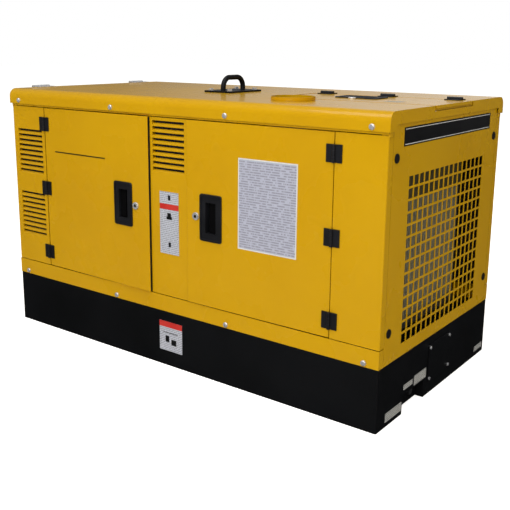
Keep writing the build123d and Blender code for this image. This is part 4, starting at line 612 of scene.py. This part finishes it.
# radiator: flat upright tubes with flat fins running across them
core = {"front": 722.0, "back": 672.0, "half": 225.0, "low": 250.0, "high": 623.0,
        "tubePitch": 11.25, "tubeWidth": 3.0, "finPitch": 4.0, "finThick": 0.7, "inset": 2.5,
        "edge": 1.0, "shade": (18.0, 30.0)}
mesh = bmesh.new()
count = int(2 * core["half"] / core["tubePitch"])
for i in range(count + 1):
    y = -core["half"] + i * core["tubePitch"]
    y0, y1 = max(-core["half"], y - core["tubeWidth"] / 2), min(core["half"], y + core["tubeWidth"] / 2)
    addBlock(mesh, (core["back"], y0, core["low"]), (core["front"], y1, core["high"]))
makePiece("radiatorTubes", mesh, tubePaint)
mesh = bmesh.new()
for i in range(int((core["high"] - core["low"]) / core["finPitch"])):
    z = core["low"] + (i + 0.5) * core["finPitch"]
    addBlock(mesh, (core["back"] + core["edge"], core["edge"] - core["half"], z),
             (core["front"] - core["inset"], core["half"] - core["edge"], z + core["finThick"]))
fins = makePiece("radiatorFins", mesh, finPaint)
# a black slab inside the core, between the tube walls: painted shade for the unlit depth of the core
mesh = bmesh.new()
near, far = (core["back"] + depth for depth in core["shade"])
addBlock(mesh, (near, core["edge"] - core["half"], core["low"] + core["edge"]),
         (far, core["half"] - core["edge"], core["high"] - core["edge"]))
makePiece("radiatorCoreShade", mesh, cableSleeve)
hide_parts("radiator_core")
# the bright crumpled foil that seals the foot of the core
foil = {"low": 228.0, "high": 256.0, "x": 729.5, "half": 200.0, "folds": 44,
        "foldHalf": 3.6, "thick": 2.0, "lean": 4.0, "leanBy": 5}
mesh = bmesh.new()
for i in range(foil["folds"]):
    y = -foil["half"] + (i + 0.5) * 2 * foil["half"] / foil["folds"]
    lean = math.radians(random.uniform(-foil["lean"], foil["lean"]) * foil["leanBy"])
    verts = addBlock(mesh, (foil["x"], y - foil["foldHalf"], foil["low"] + random.uniform(0, 5)),
                     (foil["x"] + foil["thick"], y + foil["foldHalf"], foil["high"] - random.uniform(0, 6)))
    middle = Vector((foil["x"], y, (foil["low"] + foil["high"]) / 2)) * mm
    bmesh.ops.rotate(mesh, verts=verts, cent=middle, matrix=Matrix.Rotation(lean, 3, "X"))
makePiece("radiatorFoil", mesh, galvanisedSheet)
print("the radiator is made")

# drive belt round the crank pulley and the fan pulley
belt = {"x": 581.0, "crankZ": 345.0, "crankR": 69.0, "fanZ": 460.0, "fanR": 39.0, "thick": 4.5}
rise = belt["fanZ"] - belt["crankZ"]
lean = math.asin((belt["crankR"] - belt["fanR"]) / rise)
path = []
for i in range(25):
    angle = -lean + math.pi + (math.pi + 2 * lean) * i / 24
    y, z = belt["crankR"] * math.cos(angle), belt["crankR"] * math.sin(angle)
    path.append((belt["x"], y, belt["crankZ"] + z))
for i in range(15):
    angle = lean + (math.pi - 2 * lean) * i / 14
    y, z = belt["fanR"] * math.cos(angle), belt["fanR"] * math.sin(angle)
    path.append((belt["x"], y, belt["fanZ"] + z))
makeHose("fanBelt", path, belt["thick"], blackRubber, closed=True)

# coolant, fuel and breather hoses, each a route and a radius, and the clips on the coolant hoses
hoses = {
    "topHose": ([(540, -40, 725), (585, -80, 742), (640, -110, 735), (672, -110, 700),
                 (680, -110, 680)], 19),
    "bottomHose": ([(560, 90, 300), (600, 130, 262), (645, 150, 240), (680, 150, 236)], 19),
    "fuelHose": ([(60, -120, 300), (120, -170, 262), (260, -180, 250), (330, -196, 320),
                  (330, -202, 380)], 6),
    "breatherHose": ([(300, 60, 742), (300, 110, 762), (240, 150, 760), (200, 190, 740)], 11),
}
for name, (path, radius) in hoses.items():
    makeHose(name, path, radius, blackRubber)
clips = {
    "radius": 21.0,
    "places": (((548, -46, 730), (556, -54, 734)), ((680, -110, 690), (680, -110, 680)),
               ((566, 96, 295), (572, 102, 290))),
}
mesh = bmesh.new()
for start, end in clips["places"]:
    addRod(mesh, start, end, clips["radius"])
makePiece("hoseClips", mesh, zincPlate)

# engine dress: spin-on filter, starter, alternator, pump with its pipes; rods are start, end, radius
dress = {
    "filter": (((190, -132, 340), (190, -150, 340), 30), ((190, -150, 340), (190, -186, 340), 38)),
    "starter": (((52, 168, 330), (200, 168, 330), 38, 32), ((60, 150, 385), (150, 150, 385), 22, 28)),
    "starterFlange": ((44, 130, 290), (60, 205, 400)),
    "alternator": (((455, 150, 520), (545, 150, 520), 50), ((545, 150, 520), (575, 150, 520), 30)),
    "alternatorArm": ((470, 100, 470), (530, 118, 560)),
}
mesh = bmesh.new()
for start, end, radius in dress["filter"]:
    addRod(mesh, start, end, radius, 32)
makePiece("oilFilter", mesh, filterEnamel, soft=2.5)
mesh = bmesh.new()
for start, end, radius, sides in dress["starter"]:
    addRod(mesh, start, end, radius, sides)
addBlock(mesh, *dress["starterFlange"])
makePiece("starterMotor", mesh, cableSleeve, soft=1.5)
mesh = bmesh.new()
for start, end, radius in dress["alternator"]:
    addRod(mesh, start, end, radius, 36)
addBlock(mesh, *dress["alternatorArm"])
makePiece("chargeAlternator", mesh, finAluminium, soft=1.5)

# injection pump with a union and a pipe for each cylinder
pump = {"low": (290, -176, 430), "high": (430, -132, 486), "unionX": 310, "unionPitch": 30, "unionY": -156,
        "unionTop": 506, "unionRadius": 8, "firstCylinder": 130, "cylinderPitch": 115, "cylinders": 4,
        "pipeRadius": 3.2}
mesh = bmesh.new()
addBlock(mesh, pump["low"], pump["high"])
for i in range(pump["cylinders"]):
    x = pump["unionX"] + i * pump["unionPitch"]
    addRod(mesh, (x, pump["unionY"], pump["high"][2]), (x, pump["unionY"], pump["unionTop"]),
           pump["unionRadius"], 20)
makePiece("injectionPump", mesh, greyEnamel, soft=2.0)
for i in range(pump["cylinders"]):
    x0 = pump["unionX"] + i * pump["unionPitch"]
    x1 = pump["firstCylinder"] + i * pump["cylinderPitch"]
    path = [(x0, -156, 504), (x0, -164, 540), ((x0 + x1) / 2, -158, 572), (x1, -118, 620),
            (x1, -104, 640)]
    makeHose("injectorPipe" + str(i + 1), path, pump["pipeRadius"], zincPlate)
rocker = {"first": 110, "pitch": 95, "nuts": 5, "low": 738, "high": 752, "radius": 9,
          "cap": ((180, -60, 736), (180, -60, 762), 26)}
mesh = bmesh.new()
for i in range(rocker["nuts"]):
    x = rocker["first"] + i * rocker["pitch"]
    addRod(mesh, (x, 0, rocker["low"]), (x, 0, rocker["high"]), rocker["radius"], 6)
addRod(mesh, *rocker["cap"], 32)
makePiece("rockerNutsAndOilCap", mesh, zincPlate, soft=0.8)

# battery posts, their clamps and the two leads
battery = {
    "posts": (200, 380), "y": -230, "postLow": 404, "postHigh": 424, "postRadius": 9, "postTip": 8,
    "clampHalf": 15, "clampLow": 408, "clampHigh": 418, "leadRadius": 7,
    "positive": [(200, -230, 414), (150, -240, 440), (90, -225, 420), (30, -190, 330), (20, -120, 262)],
    "earth": [(380, -230, 414), (430, -238, 436), (470, -225, 380), (490, -210, 300), (470, -205, 260)],
}
mesh = bmesh.new()
for x in battery["posts"]:
    addRod(mesh, (x, battery["y"], battery["postLow"]), (x, battery["y"], battery["postHigh"]),
           battery["postRadius"], 24, battery["postTip"])
    addBlock(mesh, (x - battery["clampHalf"], battery["y"] - battery["clampHalf"], battery["clampLow"]),
             (x + battery["clampHalf"], battery["y"] + battery["clampHalf"], battery["clampHigh"]))
makePiece("batteryClamps", mesh, machinedSteel, soft=1.0)
makeHose("batteryPositiveLead", battery["positive"], battery["leadRadius"], redSleeve)
makeHose("batteryEarthLead", battery["earth"], battery["leadRadius"], cableSleeve)
print("the engine bay is dressed")

# generator: the box over its terminals, the output cables and the loom to the control end
output = {
    "box": ((-250, -90, 490), (-90, 90, 560)), "screwX": (-238, -102), "screwY": (-78, 78),
    "screwLow": 559, "screwHigh": 564, "screwRadius": 5,
    "cableY": (-60, 0, 60), "cableRadius": 10, "loomRadius": 12,
    # each point is x, how many times the cable's own y, and z
    "cable": ((-245, 1, 525), (-320, 1, 545), (-420, 1.6, 500), (-540, 2.6, 420), (-640, 2.8, 385),
              (-718, 2.8333, 378)),
    "loom": [(-240, 70, 540), (-340, 120, 600), (-460, 160, 660), (-590, 180, 690)],
}
mesh = bmesh.new()
addBlock(mesh, *output["box"])
makePiece("generatorCableBox", mesh, greyPanelPaint, soft=3.0)
mesh = bmesh.new()
for x in output["screwX"]:
    for y in output["screwY"]:
        addRod(mesh, (x, y, output["screwLow"]), (x, y, output["screwHigh"]), output["screwRadius"], 6)
makePiece("cableBoxScrews", mesh, zincPlate, soft=0.6)
for i, y in enumerate(output["cableY"]):
    path = [(x, y * spread, z) for x, spread, z in output["cable"]]
    makeHose("outputCable" + str(i + 1), path, output["cableRadius"], cableSleeve)
makeHose("controlLoom", output["loom"], output["loomRadius"], cableSleeve)
print("the generator is dressed")


def addTick(mesh, spot, half, turn):
    # a thin bar about a point in millimetres, turned in the plane of the control end
    verts = addBlock(mesh, spot - Vector(half), spot + Vector(half))
    bmesh.ops.rotate(mesh, verts=verts, cent=spot * mm, matrix=Matrix.Rotation(turn, 3, "X"))


# meters: white faces with ticks, a needle, and a black band over the needle's foot
meters = {"x": -709.5, "size": 60.0, "y": (230.0, 140.0, 50.0, -40.0), "z": 775.0, "arc": 24.0,
          "ticks": 13, "sweep": 100.0, "firstTick": 140.0, "needleHalf": 14.0, "needleLean": 42.0,
          # how far each layer stands in front of x
          "face": 0.4, "needleBack": 0.8, "needleFront": 1.2, "band": 1.6, "bandHigh": 12.0}
mesh, marks, needles = bmesh.new(), bmesh.new(), bmesh.new()
half = meters["size"] / 2
for y in meters["y"]:
    z = meters["z"]
    addBlock(mesh, (meters["x"] - meters["face"], y - half, z - half), (meters["x"], y + half, z + half))
    for i in range(meters["ticks"]):
        angle = math.radians(meters["firstTick"] - i * meters["sweep"] / (meters["ticks"] - 1))
        long = 5.0 if i % 3 == 0 else 2.8
        spot = Vector((meters["x"] - 0.5, y + meters["arc"] * math.cos(angle),
                       z - 6 + meters["arc"] * math.sin(angle)))
        addTick(marks, spot, (0.1, 0.5, long / 2), angle - math.pi / 2)
    foot = Vector((meters["x"], y, z - meters["needleHalf"])) * mm
    verts = addBlock(needles, (meters["x"] - meters["needleFront"], y - 0.5, z - meters["needleHalf"]),
                     (meters["x"] - meters["needleBack"], y + 0.5, z + meters["needleHalf"]))
    lean = Matrix.Rotation(math.radians(meters["needleLean"]), 3, "X")
    bmesh.ops.rotate(needles, verts=verts, cent=foot, matrix=lean)
    addBlock(needles, (meters["x"] - meters["band"], y - half, z - half),
             (meters["x"] - meters["face"], y + half, z - half + meters["bandHigh"]))
makePiece("meterFaces", mesh, meterPaper)
makePiece("meterMarks", marks, blackFilm)
makePiece("meterNeedles", needles, blackAbs)

# pilot lamps: domed lenses in the six bezels
lamps = {"x": -709.0, "firstY": -110.0, "pitch": 60.0, "rise": 18.0, "radius": 6.5, "high": 4.0,
         "colours": (greenLens, amberLens, redPlastic)}
for i in range(6):
    column = i % 3
    y = lamps["firstY"] - column * lamps["pitch"]
    z = meters["z"] + (lamps["rise"] if i < 3 else -lamps["rise"])
    mesh = bmesh.new()
    addDome(mesh, (lamps["x"], y, z), lamps["radius"], lamps["high"], (-1, 0, 0))
    makePiece("lampLens" + str(i + 1), mesh, lamps["colours"][column])

# scales round the dial and the switches; each is y, radius, ticks and sweep in degrees
scales = {"x": -700.0, "z": 645.0, "dial": (190.0, 40.0, 25, 270.0), "mode": (70.0, 28.0, 3, 90.0),
          "key": (-50.0, 20.0, 3, 90.0)}
mesh = bmesh.new()
for y, radius, ticks, sweep in (scales["dial"], scales["mode"], scales["key"]):
    for i in range(ticks):
        angle = math.radians(90 + sweep / 2 - i * sweep / (ticks - 1))
        long = 7.0 if i % 4 == 0 or ticks == 3 else 4.0
        spot = Vector((scales["x"] - 0.2, y + radius * math.cos(angle),
                       scales["z"] + radius * math.sin(angle)))
        addTick(mesh, spot, (0.2, 0.7, long / 2), angle - math.pi / 2)
makePiece("dialScales", mesh, blackFilm)

# name plates under the meters and the switches, the emergency stop's disc and the fascia screws
fascia = {
    "x": -700.0, "plateThick": 0.4,
    # half width, low and high edge, and the middle of each plate
    "meterPlates": (26, 722, 732, meters["y"]), "switchPlates": (28, 606, 615, (-20.0, -120.0, -220.0)),
    "stopY": -180, "stopRadius": 34, "stopThick": 1.0,
    "screwY": (-300, 300), "screwZ": (515, 675, 835), "screwRadius": 5.5, "screwHigh": 3.5,
}
mesh = bmesh.new()
for half, low, high, middles in (fascia["meterPlates"], fascia["switchPlates"]):
    for y in middles:
        addBlock(mesh, (fascia["x"] - fascia["plateThick"], y - half, low), (fascia["x"], y + half, high))
makePiece("panelNamePlates", mesh, endPaper)
mesh = bmesh.new()
addRod(mesh, (fascia["x"], fascia["stopY"], scales["z"]),
       (fascia["x"] - fascia["stopThick"], fascia["stopY"], scales["z"]), fascia["stopRadius"], 48)
makePiece("stopPlate", mesh, yellowFilm)
mesh = bmesh.new()
for y in fascia["screwY"]:
    for z in fascia["screwZ"]:
        end = (fascia["x"] - fascia["screwHigh"], y, z)
        addRod(mesh, (fascia["x"], y, z), end, fascia["screwRadius"], 20)
makePiece("fasciaScrews", mesh, zincPlate, soft=0.7)
print("the control end is dressed")

bpy.context.view_layer.update()
